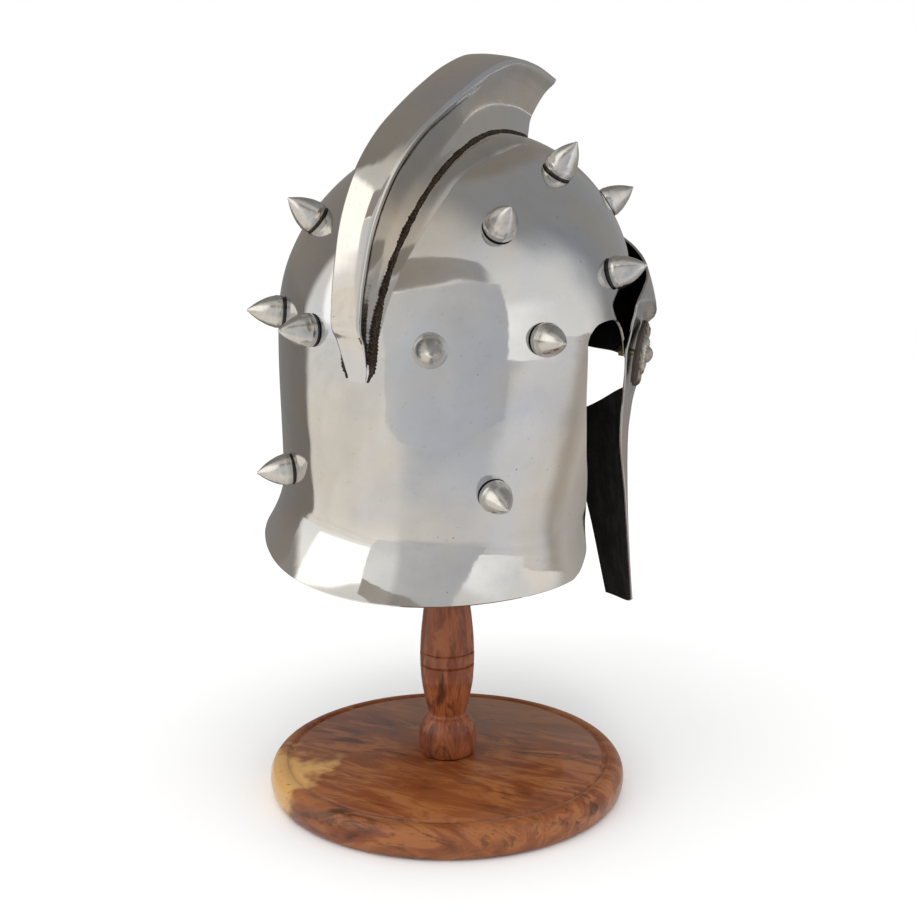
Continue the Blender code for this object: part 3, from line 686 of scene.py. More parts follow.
def mask_half_rows(across, down):
    """Rows of (angle, height) from the centre line to the rear edge, with finer steps on request."""
    flat = [tuple(v for mark in row for v in mark) for row in MASK_ROWS]
    lines = curve(flat, down)
    rows = []
    for line in lines:
        marks = [(line[i], line[i + 1]) for i in range(0, len(line), 2)]
        row = []
        for i, steps in enumerate(MASK_COLUMNS):
            start = marks[i]
            end = marks[i + 1]
            bend = (slope(marks[2], marks[4]) - slope(start, end)) * (end[0] - start[0])
            for k in range(steps * across):
                t = k / (steps * across)
                ease = (0.0, 0.0, t ** 3 - t ** 2, t ** 3 - 2 * t * t + t)[i]
                row.append((mix(start[0], end[0], t), mix(start[1], end[1], t) + bend * ease))
        row.append(marks[-1])
        rows.append(row)
    return rows


def mask_sheet(across, down):
    """Outer face of the face plate: brow band, nasal and two cheek plates in one grid."""
    half = mask_half_rows(across, down)
    nasal = MASK_COLUMNS[0] * across
    inner = nasal + MASK_COLUMNS[1] * across
    outer = inner + MASK_COLUMNS[2] * across
    last = outer + MASK_COLUMNS[3] * across
    eye_top = MASK_EYE_TOP * down
    eye_bottom = MASK_EYE_BOTTOM * down
    verts = []
    grid = []
    for row in half:
        line = []
        for column in range(-last, last + 1):
            angle, share = row[abs(column)]
            sign = 1.0 if column >= 0 else -1.0
            line.append(len(verts))
            verts.append(mask_point(sign * angle, RIM_HEIGHT + WALL * share))
        grid.append(line)
    faces = []
    for j in range(len(half) - 1):
        for k in range(2 * last):
            column = min(abs(k - last), abs(k + 1 - last))
            brow = j < eye_top
            eye = eye_top <= j < eye_bottom
            cheek = j >= eye_bottom
            keep = brow or (eye and (column < nasal or column >= outer)) or (cheek and column >= inner)
            if keep:
                faces.append([grid[j + 1][k], grid[j + 1][k + 1], grid[j][k + 1], grid[j][k]])
    used = sorted({i for face in faces for i in face})
    place = {old: new for new, old in enumerate(used)}
    return [verts[i] for i in used], [[place[i] for i in face] for face in faces]


def temple_frame(side):
    """Frame of one temple fixing, on the face plate's outer side with Z outward."""
    angle = side * TEMPLE_ANGLE
    return frame_on(mask_point(angle, temple_height()), skull_normal(angle, temple_height()))


def rosette_lift():
    """Height over the temple at which a flat disc clears the face plate's curve."""
    inverse = temple_frame(1.0).inverted()
    most = 0.0
    for ring in (0.25, 0.5, 0.75, 1.0):
        for turn in turns(16):
            reach = ROSETTE_RADIUS * ring
            angle = TEMPLE_ANGLE + math.degrees(reach * math.cos(turn) / HELMET_HALF_WIDTH)
            spot = inverse @ mask_point(angle, temple_height() + reach * math.sin(turn))
            most = max(most, spot.z)
    return most + BOSS_LIFT


def nut_seat():
    """Depth along the fixing at which the nut's face meets the inside of the skull."""
    inverse = temple_frame(1.0).inverted()
    least = 0.0
    for i in range(-14, 15):
        for j in range(-14, 15):
            angle = TEMPLE_ANGLE + math.degrees(0.001 * i / HELMET_HALF_WIDTH)
            height = temple_height() + 0.001 * j
            spot = inverse @ (skull_point(angle, height) - skull_normal(angle, height) * SHEET)
            if math.hypot(spot.x, spot.y) < NUT_RADIUS + 0.0008:
                least = min(least, spot.z)
    return least - 2.0 * GAP


def base_profile():
    top = BASE_HEIGHT
    edge = BASE_RADIUS
    well = POST_NECK + GAP
    g = GROOVE_RADIUS
    w = GROOVE_WIDTH / 2.0
    return (
        (0.0, 0.0), (edge - BASE_FOOT_INSET, 0.0), (edge - BASE_FOOT_INSET * 0.33, top * 0.117),
        (edge, top * 0.457), (edge - BASE_TOP_INSET * 0.17, top * 0.745),
        (edge - BASE_TOP_INSET * 0.60, top * 0.947), (edge - BASE_TOP_INSET, top),
        (g + w, top), (g + w * 0.4, top - GROOVE_DEPTH), (g - w * 0.4, top - GROOVE_DEPTH), (g - w, top),
        (well, top), (well, top - POST_SEAT_DEPTH), (0.0, top - POST_SEAT_DEPTH),
    )


def head_top():
    """Height on the stand's axis at which the round head meets the inside of the crown."""
    turn = lean()
    top = EQUATOR_HEIGHT + DOME_HEIGHT
    for j in range(30):
        height = EQUATOR_HEIGHT + DOME_HEIGHT * math.sin(math.radians(mix(50.0, 89.5, j / 29.0)))
        for k in range(90):
            angle = 4.0 * k
            inner = skull_point(angle, height) - skull_normal(angle, height) * (SHEET + 2.0 * GAP)
            spot = turn @ inner
            reach = math.hypot(spot.x, spot.y)
            if reach < HEAD_RADIUS:
                top = min(top, spot.z + HEAD_RADIUS - math.sqrt(HEAD_RADIUS ** 2 - reach ** 2))
    return top


def post_profile():
    top = head_top()
    start = BASE_HEIGHT - POST_SEAT_DEPTH + GAP
    points = [(0.0, start), (POST_NECK, start), (POST_NECK, BASE_HEIGHT + GAP)]
    points += [(POST_RADIUS * r, BASE_HEIGHT + GAP + POST_TURNED * h) for r, h in POST_PROFILE]
    centre = top - HEAD_RADIUS
    points.append((POST_NECK, centre - HEAD_RADIUS))
    points.append((mix(POST_NECK, HEAD_RADIUS, 0.33), centre - HEAD_RADIUS * 0.67))
    for k in range(6):
        turn = math.radians(mix(-32.0, 90.0, k / 6.0))
        points.append((HEAD_RADIUS * math.cos(turn), centre + HEAD_RADIUS * math.sin(turn)))
    points.append((0.0, top))
    return points


def make_mask(looks):
    verts, faces = mask_sheet(MASK_ACROSS, MASK_DOWN)
    normals = face_normals(verts, faces)
    for i, (v, n) in enumerate(zip(verts, normals)):
        clear = smooth((v - temple_spot(v)).length / 0.03)
        verts[i] = v + n * hammered(v * 1.2, PLATE_HAMMER) * clear
    verts, faces, marks = closed_sheet(verts, faces, SHEET)
    add_piece("helmet_face_plate", verts, faces, looks, "face_plate", marks=marks)


def temple_spot(point):
    side = 1.0 if point.x > SEAT_X else -1.0
    return mask_point(side * TEMPLE_ANGLE, temple_height())


def rosette_height(radius, turn):
    """Height of the rosette's front over its back: dished petals with a midrib round a raised ring."""
    share = radius / ROSETTE_RADIUS
    petal = 0.5 + 0.5 * math.cos(ROSETTE_PETALS * turn)
    ring = math.exp(-((share - 0.42) / 0.10) ** 2)
    dish = 1.0 - 0.35 * share * share
    reach = smooth((share - 0.45) / 0.35) * (1.0 - 0.5 * smooth((share - 0.85) / 0.15))
    rib = 0.15 * math.exp(-((1.0 - petal) / 0.035))
    beads = 0.13 * (0.5 + 0.5 * math.cos(24.0 * turn)) * math.exp(-((share - 0.42) / 0.055) ** 2)
    return ROSETTE_DEPTH * (dish + 0.41 * ring + (0.38 * petal - rib) * reach + beads)


def rosette_edge(turn):
    petal = 0.5 + 0.5 * math.cos(ROSETTE_PETALS * turn)
    return ROSETTE_RADIUS * (0.90 + 0.10 * petal ** 0.6)


def rosette_solid(sides, rings, frame):
    """Cast flower with a closed back, and how deep each point lies in its hollows."""
    verts = []
    recess = []
    hole = BOLT_BOSS + GAP
    lift = rosette_lift()
    for j in range(rings + 1):
        drop = 0.26 * ROSETTE_DEPTH * smooth((j / rings - 0.86) / 0.14)
        for turn in turns(sides):
            radius = mix(hole, rosette_edge(turn), j / rings)
            height = rosette_height(radius, turn) - drop
            verts.append(frame @ polar(radius, turn, lift + height))
            recess.append(min(1.0, max(0.0, (1.34 - height / ROSETTE_DEPTH) / 0.60)))
    for share in (1.0, 0.0):
        for turn in turns(sides):
            verts.append(frame @ polar(mix(hole, rosette_edge(turn) * 0.985, share), turn, lift))
            recess.append(1.0)
    loops = ring_numbers(rings + 3, sides)
    return verts, bridged(loops + loops[:1]), recess


def make_rosette(side, word, look):
    verts, faces, recess = rosette_solid(ROSETTE_SIDES, ROSETTE_RINGS, temple_frame(side))
    name = "rosette_" + word
    add_piece("cast_" + name, verts, faces, [look], name,
              sharp=55.0, values={"recess": recess})


def prism(radius, low, high, sides, frame, soften):
    """Nut or washer: a prism with softened rims."""
    verts = []
    less = radius - soften
    for reach, height in ((less, low), (radius, low + soften), (radius, high - soften), (less, high)):
        verts += [frame @ polar(reach, turn, height) for turn in turns(sides)]
    loops = ring_numbers(4, sides)
    return verts, bridged(loops) + [loops[0][::-1], loops[-1]]


def joined(parts):
    verts = []
    faces = []
    for more_verts, more_faces in parts:
        shift = len(verts)
        verts += more_verts
        faces += [[i + shift for i in face] for face in more_faces]
    return verts, faces


def make_bolt(side, word, looks):
    """Threaded shank with a six-sided nut inside the skull and a domed boss in the rosette."""
    frame = temple_frame(side)
    inside = nut_seat()
    lift = rosette_lift()
    under = inside - NUT_HEIGHT
    shank = [(0.0, under - BOLT_END), (BOLT_RADIUS * 0.8, under - BOLT_END)]
    for k in range(BOLT_THREADS):
        height = mix(under - BOLT_END * 0.85, under, k / BOLT_THREADS)
        shank.append((BOLT_RADIUS * (1.0 if k % 2 else 0.88), height))
    shank += [(BOLT_RADIUS, under), (BOLT_RADIUS, lift), (BOLT_BOSS, lift)]
    for k in range(11):
        turn = math.radians(9.0 * k)
        reach = BOLT_BOSS * math.cos(turn) if k < 10 else 0.0
        shank.append((reach, lift + BOSS_HEIGHT * (0.50 + 0.50 * math.sin(turn))))
    nut = prism(NUT_RADIUS, under, inside, 6, frame, 0.0004)
    verts, faces = joined([turned(shank, BOLT_SIDES, frame), nut])
    back = frame.inverted()
    marks = [1 if sum((back @ verts[i]).z for i in face) / len(face) > lift - 0.0001 else 0 for face in faces]
    name = "rosette_bolt_" + word
    depths = [BOSS_DULLNESS] * len(verts)
    add_piece("fixing_" + name, verts, faces, looks, name,
              sharp=32.0, values={"recess": depths}, marks=marks)


def rounded(profile, samples, corners):
    """Profile with smooth stretches between the rows named as corners."""
    out = []
    start = 0
    for stop in corners + [len(profile) - 1]:
        piece = profile[start:stop + 1]
        if len(piece) > 2:
            out += curve(piece, samples)[:-1]
        else:
            out += piece[:-1]
        start = stop
    out.append(profile[-1])
    return out


def make_base(look):
    profile = rounded(list(base_profile()), 6, BASE_CORNERS)
    verts, faces = turned(profile, BASE_SIDES, Matrix.Identity(4))
    add_piece("turned_base", verts, faces, [look], "stand_base", leaning=False)


def make_post(look):
    """Turned post, whose narrow grooves keep their sharp edges."""
    profile = post_profile()
    corners = [1, 2]
    for i in range(2, len(profile) - 1):
        (before, low), (radius, _), (after, high) = profile[i - 1:i + 2]
        if 0.0 < before - radius < 0.0015 and high - low < 0.0018 and after > radius:
            corners += [i - 1, i, i + 1]
    profile = rounded(profile, 6, sorted(set(corners)))
    verts, faces = turned(profile, POST_SIDES, Matrix.Identity(4))
    add_piece("turned_post", verts, faces, [look], "stand_post", leaning=False)


class Nodes:
    """Short ways to add nodes to a node tree."""

    def __init__(self, tree, space):
        self.tree = tree
        self.place = self.add("ShaderNodeTexCoord").outputs[space]

    def fill(self, node, inputs):
        """Links or sets inputs of a node, by name or by number."""
        for key, value in inputs.items():
            if isinstance(value, bpy.types.NodeSocket):
                self.tree.links.new(value, node.inputs[key])
            else:
                node.inputs[key].default_value = value
        return node

    def add(self, kind, inputs=None, **settings):
        node = self.tree.nodes.new(kind)
        for key, value in settings.items():
            setattr(node, key, value)
        return self.fill(node, inputs or {})

    def ramp(self, fac, stops, smooth_steps=True):
        node = self.add("ShaderNodeValToRGB", {"Fac": fac})
        node.color_ramp.interpolation = "EASE" if smooth_steps else "LINEAR"
        while len(node.color_ramp.elements) < len(stops):
            node.color_ramp.elements.new(0.5)
        for element, (where, colour) in zip(node.color_ramp.elements, stops):
            element.position = where
            element.color = (*colour, 1.0)
        return node.outputs["Color"]

    def span(self, value, low, high, to_low, to_high):
        inputs = {"Value": value, "From Min": low, "From Max": high, "To Min": to_low, "To Max": to_high}
        return self.add("ShaderNodeMapRange", inputs, interpolation_type="SMOOTHSTEP").outputs["Result"]

    def sum(self, a, b, operation="ADD"):
        return self.add("ShaderNodeMath", {0: a, 1: b}, operation=operation).outputs[0]

    def measure(self, operation, other):
        """Distance or dot product of the place and another vector."""
        node = self.add("ShaderNodeVectorMath", {0: self.place, 1: other}, operation=operation)
        return node.outputs["Value"]

    def blend(self, fac, a, b, kind="MIX"):
        a, b = [(*v, 1.0) if isinstance(v, tuple) else v for v in (a, b)]
        return self.add("ShaderNodeMix", {0: fac, 6: a, 7: b}, data_type="RGBA", blend_type=kind).outputs[2]


class Look(Nodes):
    """A material made of procedural nodes."""

    def __init__(self, name):
        self.made = bpy.data.materials.new(name)
        self.made.use_nodes = True
        super().__init__(self.made.node_tree, "Object")
        self.shader = self.tree.nodes["Principled BSDF"]

    def stretched(self, scale, turn=(0.0, 0.0, 0.0)):
        node = self.add("ShaderNodeMapping", {"Vector": self.place, "Scale": scale, "Rotation": turn})
        return node.outputs["Vector"]

    def noise(self, scale, detail=2.0, rough=0.5, bend=0.0, at=None):
        inputs = {"Vector": at or self.place, "Scale": scale, "Detail": detail}
        inputs.update({"Roughness": rough, "Distortion": bend})
        return self.add("ShaderNodeTexNoise", inputs).outputs["Fac"]

    def carried(self, name):
        """Value that a piece carries at its points."""
        return self.add("ShaderNodeAttribute", attribute_name=name).outputs["Fac"]

    def dots(self, scale, small, large, most):
        """Scattered specks, each of full strength up to the small radius and gone at the large one."""
        cells = self.add("ShaderNodeTexVoronoi", {"Vector": self.place, "Scale": scale}, feature="F1")
        return self.span(cells.outputs["Distance"], small, large, most, 0.0)

    def axis(self, letter):
        return self.add("ShaderNodeSeparateXYZ", {"Vector": self.place}).outputs[letter]

    def bump(self, heights):
        """Several reliefs one over the other, each as (height, depth in metres)."""
        normal = None
        for height, depth in heights:
            node = self.add("ShaderNodeBump", {"Height": height, "Distance": depth, "Strength": 1.0})
            if normal:
                self.tree.links.new(normal, node.inputs["Normal"])
            normal = node.outputs["Normal"]
        return normal

    def finish(self, **inputs):
        self.fill(self.shader, {key.replace("_", " "): value for key, value in inputs.items()})
        return self.made

    def glow(self, shader):
        """Ends a studio look with another shader in place of the usual one."""
        self.tree.links.new(shader, self.tree.nodes["Material Output"].inputs["Surface"])
        self.tree.nodes.remove(self.shader)
        return self.made


def steel_look(name, cool, warm, low, high, wave, heated=True):
    """Polished sheet steel: straw and blue patches, hammer waves, fine scratches, pits and weld heat, with a
    painted highlight on the flared rim to the wearer's left of the back seam.
    """
    look = Look(name)
    patch = look.noise(9.0, 2.0, 0.5, 0.8)
    middle = tuple((a + b) / 2.0 for a, b in zip(cool, warm))
    colour = look.ramp(patch, ((0.34, cool), (0.50, middle), (0.66, warm)))
    cloud = look.noise(55.0, 4.0, 0.6)
    colour = look.blend(look.span(cloud, 0.40, 0.75, 0.0, 0.10), colour, (0.34, 0.33, 0.31))
    few = look.span(look.noise(31.0, 2.0), 0.58, 0.66, 0.0, 1.0)
    pit = look.sum(look.dots(170.0, 0.045, 0.085, 1.0), few, "MULTIPLY")
    colour = look.blend(look.sum(pit, 0.75, "MULTIPLY"), colour, (0.06, 0.05, 0.045))
    rough = look.span(look.noise(17.0, 5.0, 0.6), 0.35, 0.70, low, high)
    scratch = look.noise(1.0, 3.0, 0.6, 0.0, look.stretched((1500.0, 60.0, 60.0), (0.3, 0.5, 0.2)))
    rough = look.sum(rough, look.span(scratch, 0.60, 0.80, 0.0, 0.08))
    if heated:
        # painted highlight: a much brighter colour on the lower flared rim, on the wearer's left of the back
        # seam
        highlight_low_part = look.span(look.axis("Z"), *FLARE_HIGHLIGHT_HEIGHTS, 1.0, 0.0)
        painted_flare_highlight = look.sum(highlight_low_part, look.span(look.axis("X"), *HIGHLIGHT_SEAM_SIDE, 0.0, 1.0), "MULTIPLY")
        colour = look.blend(painted_flare_highlight, colour, (0.86, 0.855, 0.83))
        fringe = look.span(look.noise(260.0, 4.0, 0.7), 0.30, 0.75, -0.22, 0.22)
        ragged = look.sum(look.carried("heat"), fringe)
        tint = look.ramp(ragged, (
            (0.10, (1.0, 1.0, 1.0)), (0.38, (0.86, 0.72, 0.55)),
            (0.62, (0.42, 0.31, 0.23)), (0.90, (0.10, 0.075, 0.06)),
        ))
        colour = look.blend(1.0, colour, tint, "MULTIPLY")
        rough = look.sum(rough, look.span(ragged, 0.35, 0.85, 0.0, 0.42))
    waves = look.noise(24.0, 1.0, 0.4)
    small = look.noise(85.0, 2.0, 0.5)
    normal = look.bump(((waves, wave), (small, wave * 0.05), (scratch, 0.000003), (pit, -0.00006)))
    return look.finish(Base_Color=colour, Roughness=rough, Normal=normal, Metallic=1.0)


def weld_look():
    """Burnt weld: brown-black crust with bright metal on the crests of its grains."""
    look = Look("burnt_weld")
    grain = look.noise(900.0, 4.0, 0.7)
    colour = look.ramp(grain, (
        (0.34, (0.018, 0.012, 0.009)), (0.52, (0.062, 0.043, 0.029)),
        (0.66, (0.13, 0.10, 0.072)), (0.80, (0.42, 0.35, 0.27)),
    ))
    patch = look.noise(120.0, 2.0)
    colour = look.blend(look.span(patch, 0.45, 0.65, 0.0, 0.6), colour, (0.030, 0.021, 0.016))
    normal = look.bump(((grain, 0.0007), (look.noise(2400.0, 2.0), 0.0002)))
    rough = look.span(grain, 0.35, 0.75, 0.75, 0.38)
    return look.finish(Base_Color=colour, Roughness=rough, Normal=normal, Metallic=0.75)


def spike_look():
    """Turned steel cone: fine rings round it, grey wear and a painted shade, near black, at the foot where it
    sits on the skull.
    """
    look = Look("turned_steel")
    along = look.carried("along")
    where = look.add("ShaderNodeCombineXYZ", {"X": look.sum(along, 210.0, "MULTIPLY")}).outputs["Vector"]
    rings = look.noise(1.0, 2.0, 0.6, 0.0, where)
    cloud = look.noise(210.0, 4.0, 0.6)
    colour = look.ramp(cloud, (
        (0.26, (0.50, 0.48, 0.45)), (0.50, (0.60, 0.59, 0.57)), (0.74, (0.68, 0.67, 0.65)),
    ))
    # painted shade: near black at the foot, in the gap where the spike sits on the skull
    colour = look.blend(look.span(along, 0.020, 0.050, 0.92, 0.0), colour, (0.012, 0.010, 0.009))
    colour = look.blend(look.dots(320.0, 0.03, 0.06, 0.5), colour, (0.16, 0.145, 0.13))
    rough = look.span(look.sum(cloud, look.sum(rings, 0.5, "MULTIPLY")), 0.5, 1.0, 0.17, 0.28)
    normal = look.bump(((rings, 0.000010), (cloud, 0.000012)))
    return look.finish(Base_Color=colour, Roughness=rough, Normal=normal, Metallic=1.0)


def paint_look():
    """Black paint brushed on the inner sides, uneven and a little glossy."""
    look = Look("black_paint")
    brush = look.noise(1.0, 4.0, 0.6, 0.4, look.stretched((70.0, 70.0, 420.0), (0.2, 0.4, 0.0)))
    colour = look.ramp(brush, (
        (0.30, (0.0025, 0.0022, 0.0020)), (0.62, (0.005, 0.0043, 0.0037)), (0.80, (0.010, 0.0085, 0.007)),
    ))
    rough = look.span(look.noise(60.0, 4.0, 0.6), 0.30, 0.70, 0.42, 0.62)
    normal = look.bump(((brush, 0.00018), (look.noise(900.0, 3.0), 0.00004)))
    return look.finish(Base_Color=colour, Roughness=rough, Normal=normal, Specular_IOR_Level=0.03)


def cast_look():
    """Antique cast nickel: dark in the hollows, rubbed bright on the ridges, sandy grain."""
    look = Look("antique_cast")
    cloud = look.noise(260.0, 4.0, 0.6)
    depth = look.sum(look.carried("recess"), look.span(cloud, 0.3, 0.7, -0.25, 0.25))
    colour = look.ramp(depth, (
        (0.10, (0.66, 0.62, 0.57)), (0.45, (0.44, 0.40, 0.355)), (0.85, (0.12, 0.10, 0.085)),
    ))
    rough = look.span(depth, 0.0, 1.0, 0.30, 0.66)
    normal = look.bump(((look.noise(1500.0, 3.0, 0.6), 0.00007), (cloud, 0.00022)))
    return look.finish(Base_Color=colour, Roughness=rough, Normal=normal, Metallic=1.0)


def brass_look():
    """Dull brass with a green-brown film and rubbed corners."""
    look = Look("dull_brass")
    cloud = look.noise(320.0, 4.0, 0.6)
    colour = look.ramp(cloud, (
        (0.30, (0.13, 0.13, 0.055)), (0.52, (0.34, 0.33, 0.13)), (0.74, (0.55, 0.50, 0.26)),
    ))
    rough = look.span(cloud, 0.3, 0.7, 0.50, 0.28)
    normal = look.bump(((look.noise(1400.0, 3.0), 0.00006),))
    return look.finish(Base_Color=colour, Roughness=rough, Normal=normal, Metallic=1.0)


def wood_look(name, stretch, turn, dark, red, light, sap=None):
    """Varnished red-brown hardwood: bands of growth, dark streaks, pores and a clear coat."""
    look = Look(name)
    at = look.stretched(stretch, turn)
    flow = look.noise(1.0, 3.0, 0.5, 0.6, at)
    bands = look.noise(3.4, 7.0, 0.62, 1.0, at)
    colour = look.ramp(bands, ((0.26, dark), (0.44, red), (0.60, light), (0.78, red)))
    streak = look.span(look.noise(2.6, 7.0, 0.66, 1.3, at), 0.53, 0.66, 0.0, 0.80)
    colour = look.blend(streak, colour, tuple(0.45 * c for c in dark))
    colour = look.blend(look.span(flow, 0.35, 0.65, 0.0, 0.35), colour, light)
    if sap:
        centre, reach, pale = sap
        away = look.measure("DISTANCE", centre)
        edge = look.sum(away, look.span(look.noise(26.0, 3.0, 0.6), 0.3, 0.7, -0.020, 0.020))
        colour = look.blend(look.span(edge, reach * 0.55, reach, 0.9, 0.0), colour, pale)
    fine = tuple(v * 22.0 if v > 10.0 else v * 9.0 for v in stretch)
    pores = look.noise(1.0, 3.0, 0.55, 0.0, look.stretched(fine, turn))
    pore = look.span(pores, 0.63, 0.72, 0.0, 1.0)
    colour = look.blend(look.sum(pore, 0.55, "MULTIPLY"), colour, (0.020, 0.007, 0.004))
    rough = look.span(bands, 0.3, 0.7, 0.34, 0.48)
    normal = look.bump(((bands, 0.00005), (pore, -0.00005)))
    shine = {"Specular_IOR_Level": 0.16, "Coat_Weight": 0.42, "Coat_Roughness": 0.06, "Coat_IOR": 1.5}
    return look.finish(Base_Color=colour, Roughness=rough, Normal=normal, **shine)


# dark, red and light of each wood, and the base's sapwood as centre, reach and colour
BASE_COLOURS = ((0.055, 0.015, 0.006), (0.185, 0.046, 0.013), (0.32, 0.112, 0.034))
POST_COLOURS = ((0.050, 0.012, 0.006), (0.175, 0.040, 0.013), (0.30, 0.088, 0.030))
SAPWOOD = ((0.090, 0.078, 0.004), 0.050, (0.60, 0.34, 0.11))


def floor_look():
    look = Look("pale_floor")
    tone = look.ramp(look.noise(2.0, 3.0), ((0.3, (0.955, 0.955, 0.955)), (0.7, (0.97, 0.97, 0.97))))
    return look.finish(Base_Color=tone, Roughness=0.85, Specular_IOR_Level=0.1)


def make_floor():
    """Round pale floor, a hair below the plane that the base stands on."""
    profile = [(0.0, -0.004), (FLOOR_RADIUS, -0.004), (FLOOR_RADIUS, -0.0002), (0.0, -0.0002)]
    verts, faces = turned(profile, 96, Matrix.Identity(4))
    stage("floor", verts, faces, floor_look())


def stage(name, verts, faces, look, frame=None):
    """A thing of the studio. One with a frame is a card or ring that only reflections see."""
    mesh = bpy.data.meshes.new(name)
    mesh.from_pydata([tuple(v) for v in verts], [], faces)
    mesh.materials.append(look)
    made = bpy.data.objects.new(name, mesh)
    bpy.context.scene.collection.objects.link(made)
    if frame is not None:
        made.matrix_world = frame
        made.visible_camera = False
        made.visible_diffuse = False
        made.visible_shadow = False
    return mesh


# photo's camera: turn about the stand, pitch down and yaw in radians, distance, height and lens
CAMERA_TURN = 1.1249
CAMERA_PITCH = 0.1759
CAMERA_YAW = 0.0087
CAMERA_BACK = 0.76898
CAMERA_HEIGHT = 0.34241
LENS_PIXELS = 1295.12
PHOTO_PIXELS = 916.0


def camera_axes():
    """Camera position, view direction, right and up, from the photo's perspective."""
    c = math.cos(CAMERA_TURN)
    s = math.sin(CAMERA_TURN)

    def placed(x, y, z):
        ahead = x * c + y * s
        right = x * s - y * c
        return Vector((-right, -ahead, z))

    level = math.cos(CAMERA_PITCH)
    eye = placed(0.0, -CAMERA_BACK, CAMERA_HEIGHT)
    ahead = placed(math.sin(CAMERA_YAW) * level, math.cos(CAMERA_YAW) * level, -math.sin(CAMERA_PITCH))
    right = placed(math.cos(CAMERA_YAW), -math.sin(CAMERA_YAW), 0.0)
    return eye, ahead, right, right.cross(ahead)


def make_camera():
    eye, ahead, right, up = camera_axes()
    frame = Matrix((right, up, -ahead)).transposed().to_4x4()
    frame.translation = eye
    data = bpy.data.cameras.new("view")
    data.sensor_width = 36.0
    data.lens = LENS_PIXELS / PHOTO_PIXELS * data.sensor_width
    data.clip_start = 0.02
    data.clip_end = 50.0
    made = bpy.data.objects.new("view", data)
    bpy.context.scene.collection.objects.link(made)
    made.matrix_world = frame
    bpy.context.scene.camera = made


def studio_way(across, rise):
    """Direction in the studio: degrees to the camera's right of the way back to it, and degrees up."""
    _, ahead, right, _ = camera_axes()
    back = Vector((-ahead.x, -ahead.y, 0.0)).normalized()
    a = math.radians(across)
    e = math.radians(rise)
    flat = back * math.cos(a) + right * math.sin(a)
    return flat * math.cos(e) + UP * math.sin(e)


MATT_SKY = (1.08, 1.08, 1.08)
CAMERA_SKY = (1.0, 1.0, 1.0)
SKY = (
    (0.0, (0.90, 0.89, 0.87)), (0.50, (0.97, 0.96, 0.94)),
    (0.76, (0.90, 0.88, 0.85)), (0.94, (0.66, 0.64, 0.61)),
)
PANELS = (
    # across, rise, half width, half height, softness, colour
    (154.0, 35.0, 58.0, 62.0, 26.0, (0.325, 0.33, 0.34)),
    (-155.0, 24.0, 40.0, 60.0, 8.0, (0.27, 0.25, 0.23)),
    (-62.0, 27.0, 34.0, 24.0, 5.0, (1.55, 1.50, 1.40)),
)
CARDS = (
    # name, across, distance, corners along and up the card, colours at its two ends,
    # softness left, right, top
    ("camera_card", 14.0, 0.38,
     ((-0.36, 0.0), (0.21, 0.0), (0.165, 0.16), (0.165, 0.48), (-0.06, 0.495), (-0.43, 0.56)),
     (0.76, 0.75, 0.73), (0.56, 0.57, 0.60), 0.03, 0.004, 0.0),
    ("lens_card", 14.0, 0.40,
     ((-0.43, 0.575), (-0.11, 0.53), (0.10, 0.50), (0.17, 0.50), (0.12, 0.64), (-0.12, 0.735), (-0.44, 0.88)),
     (0.34, 0.30, 0.26), (0.40, 0.39, 0.38), 0.02, 0.06, 0.0),
    ("bright_card", 55.0, 0.80, ((-0.30, 0.0), (0.18, 0.0), (0.18, 0.56), (-0.30, 0.56)),
     (1.22, 1.22, 1.22), (0.92, 0.92, 0.93), 0.0, 0.08, 0.10),
    ("right_card", 105.0, 0.32, ((-0.12, 0.0), (0.24, 0.0), (0.24, 0.24), (-0.12, 0.24)),
     (0.60, 0.57, 0.54), (0.38, 0.35, 0.32), 0.10, 0.0, 0.06),
    ("back_card", -132.0, 0.50, ((-0.40, 0.0), (0.22, 0.0), (0.22, 0.40), (-0.40, 0.40)),
     (0.235, 0.23, 0.235), (0.235, 0.21, 0.185), 0.0, 0.004, 0.06),
)
FLOOR_RADIUS = 3.2
RING_HEIGHT = 0.0006
RING_SIDES = 180
RING_RADII = (0.13, 0.20, 0.26, 0.29, 0.32, 0.36, 0.50, 1.2, 3.0)
FLOOR_TONES = (
    # across, colour that the steel sees on the floor in that direction
    (-180.0, (0.26, 0.25, 0.24)), (-116.0, (0.24, 0.22, 0.20)), (-110.0, (0.93, 0.88, 0.79)),
    (-20.0, (0.92, 0.87, 0.80)), (0.0, (0.84, 0.80, 0.75)), (30.0, (0.72, 0.70, 0.70)),
    (60.0, (0.80, 0.80, 0.83)), (76.0, (0.78, 0.78, 0.80)), (92.0, (0.50, 0.46, 0.42)),
    (115.0, (0.44, 0.41, 0.38)), (150.0, (0.27, 0.26, 0.25)), (180.0, (0.26, 0.25, 0.24)),
)


LIGHTS = (
    # name, across, rise, distance, size, power, colour
    ("soft_left", -62.0, 38.0, 1.6, (1.0, 1.2), 3.0, (1.0, 0.99, 0.97)),
    ("soft_top", 10.0, 80.0, 1.5, (1.4, 1.4), 2.0, (1.0, 1.0, 1.0)),
)
# height on the stand's axis that the lights point at
LIT_HEIGHT = 0.22


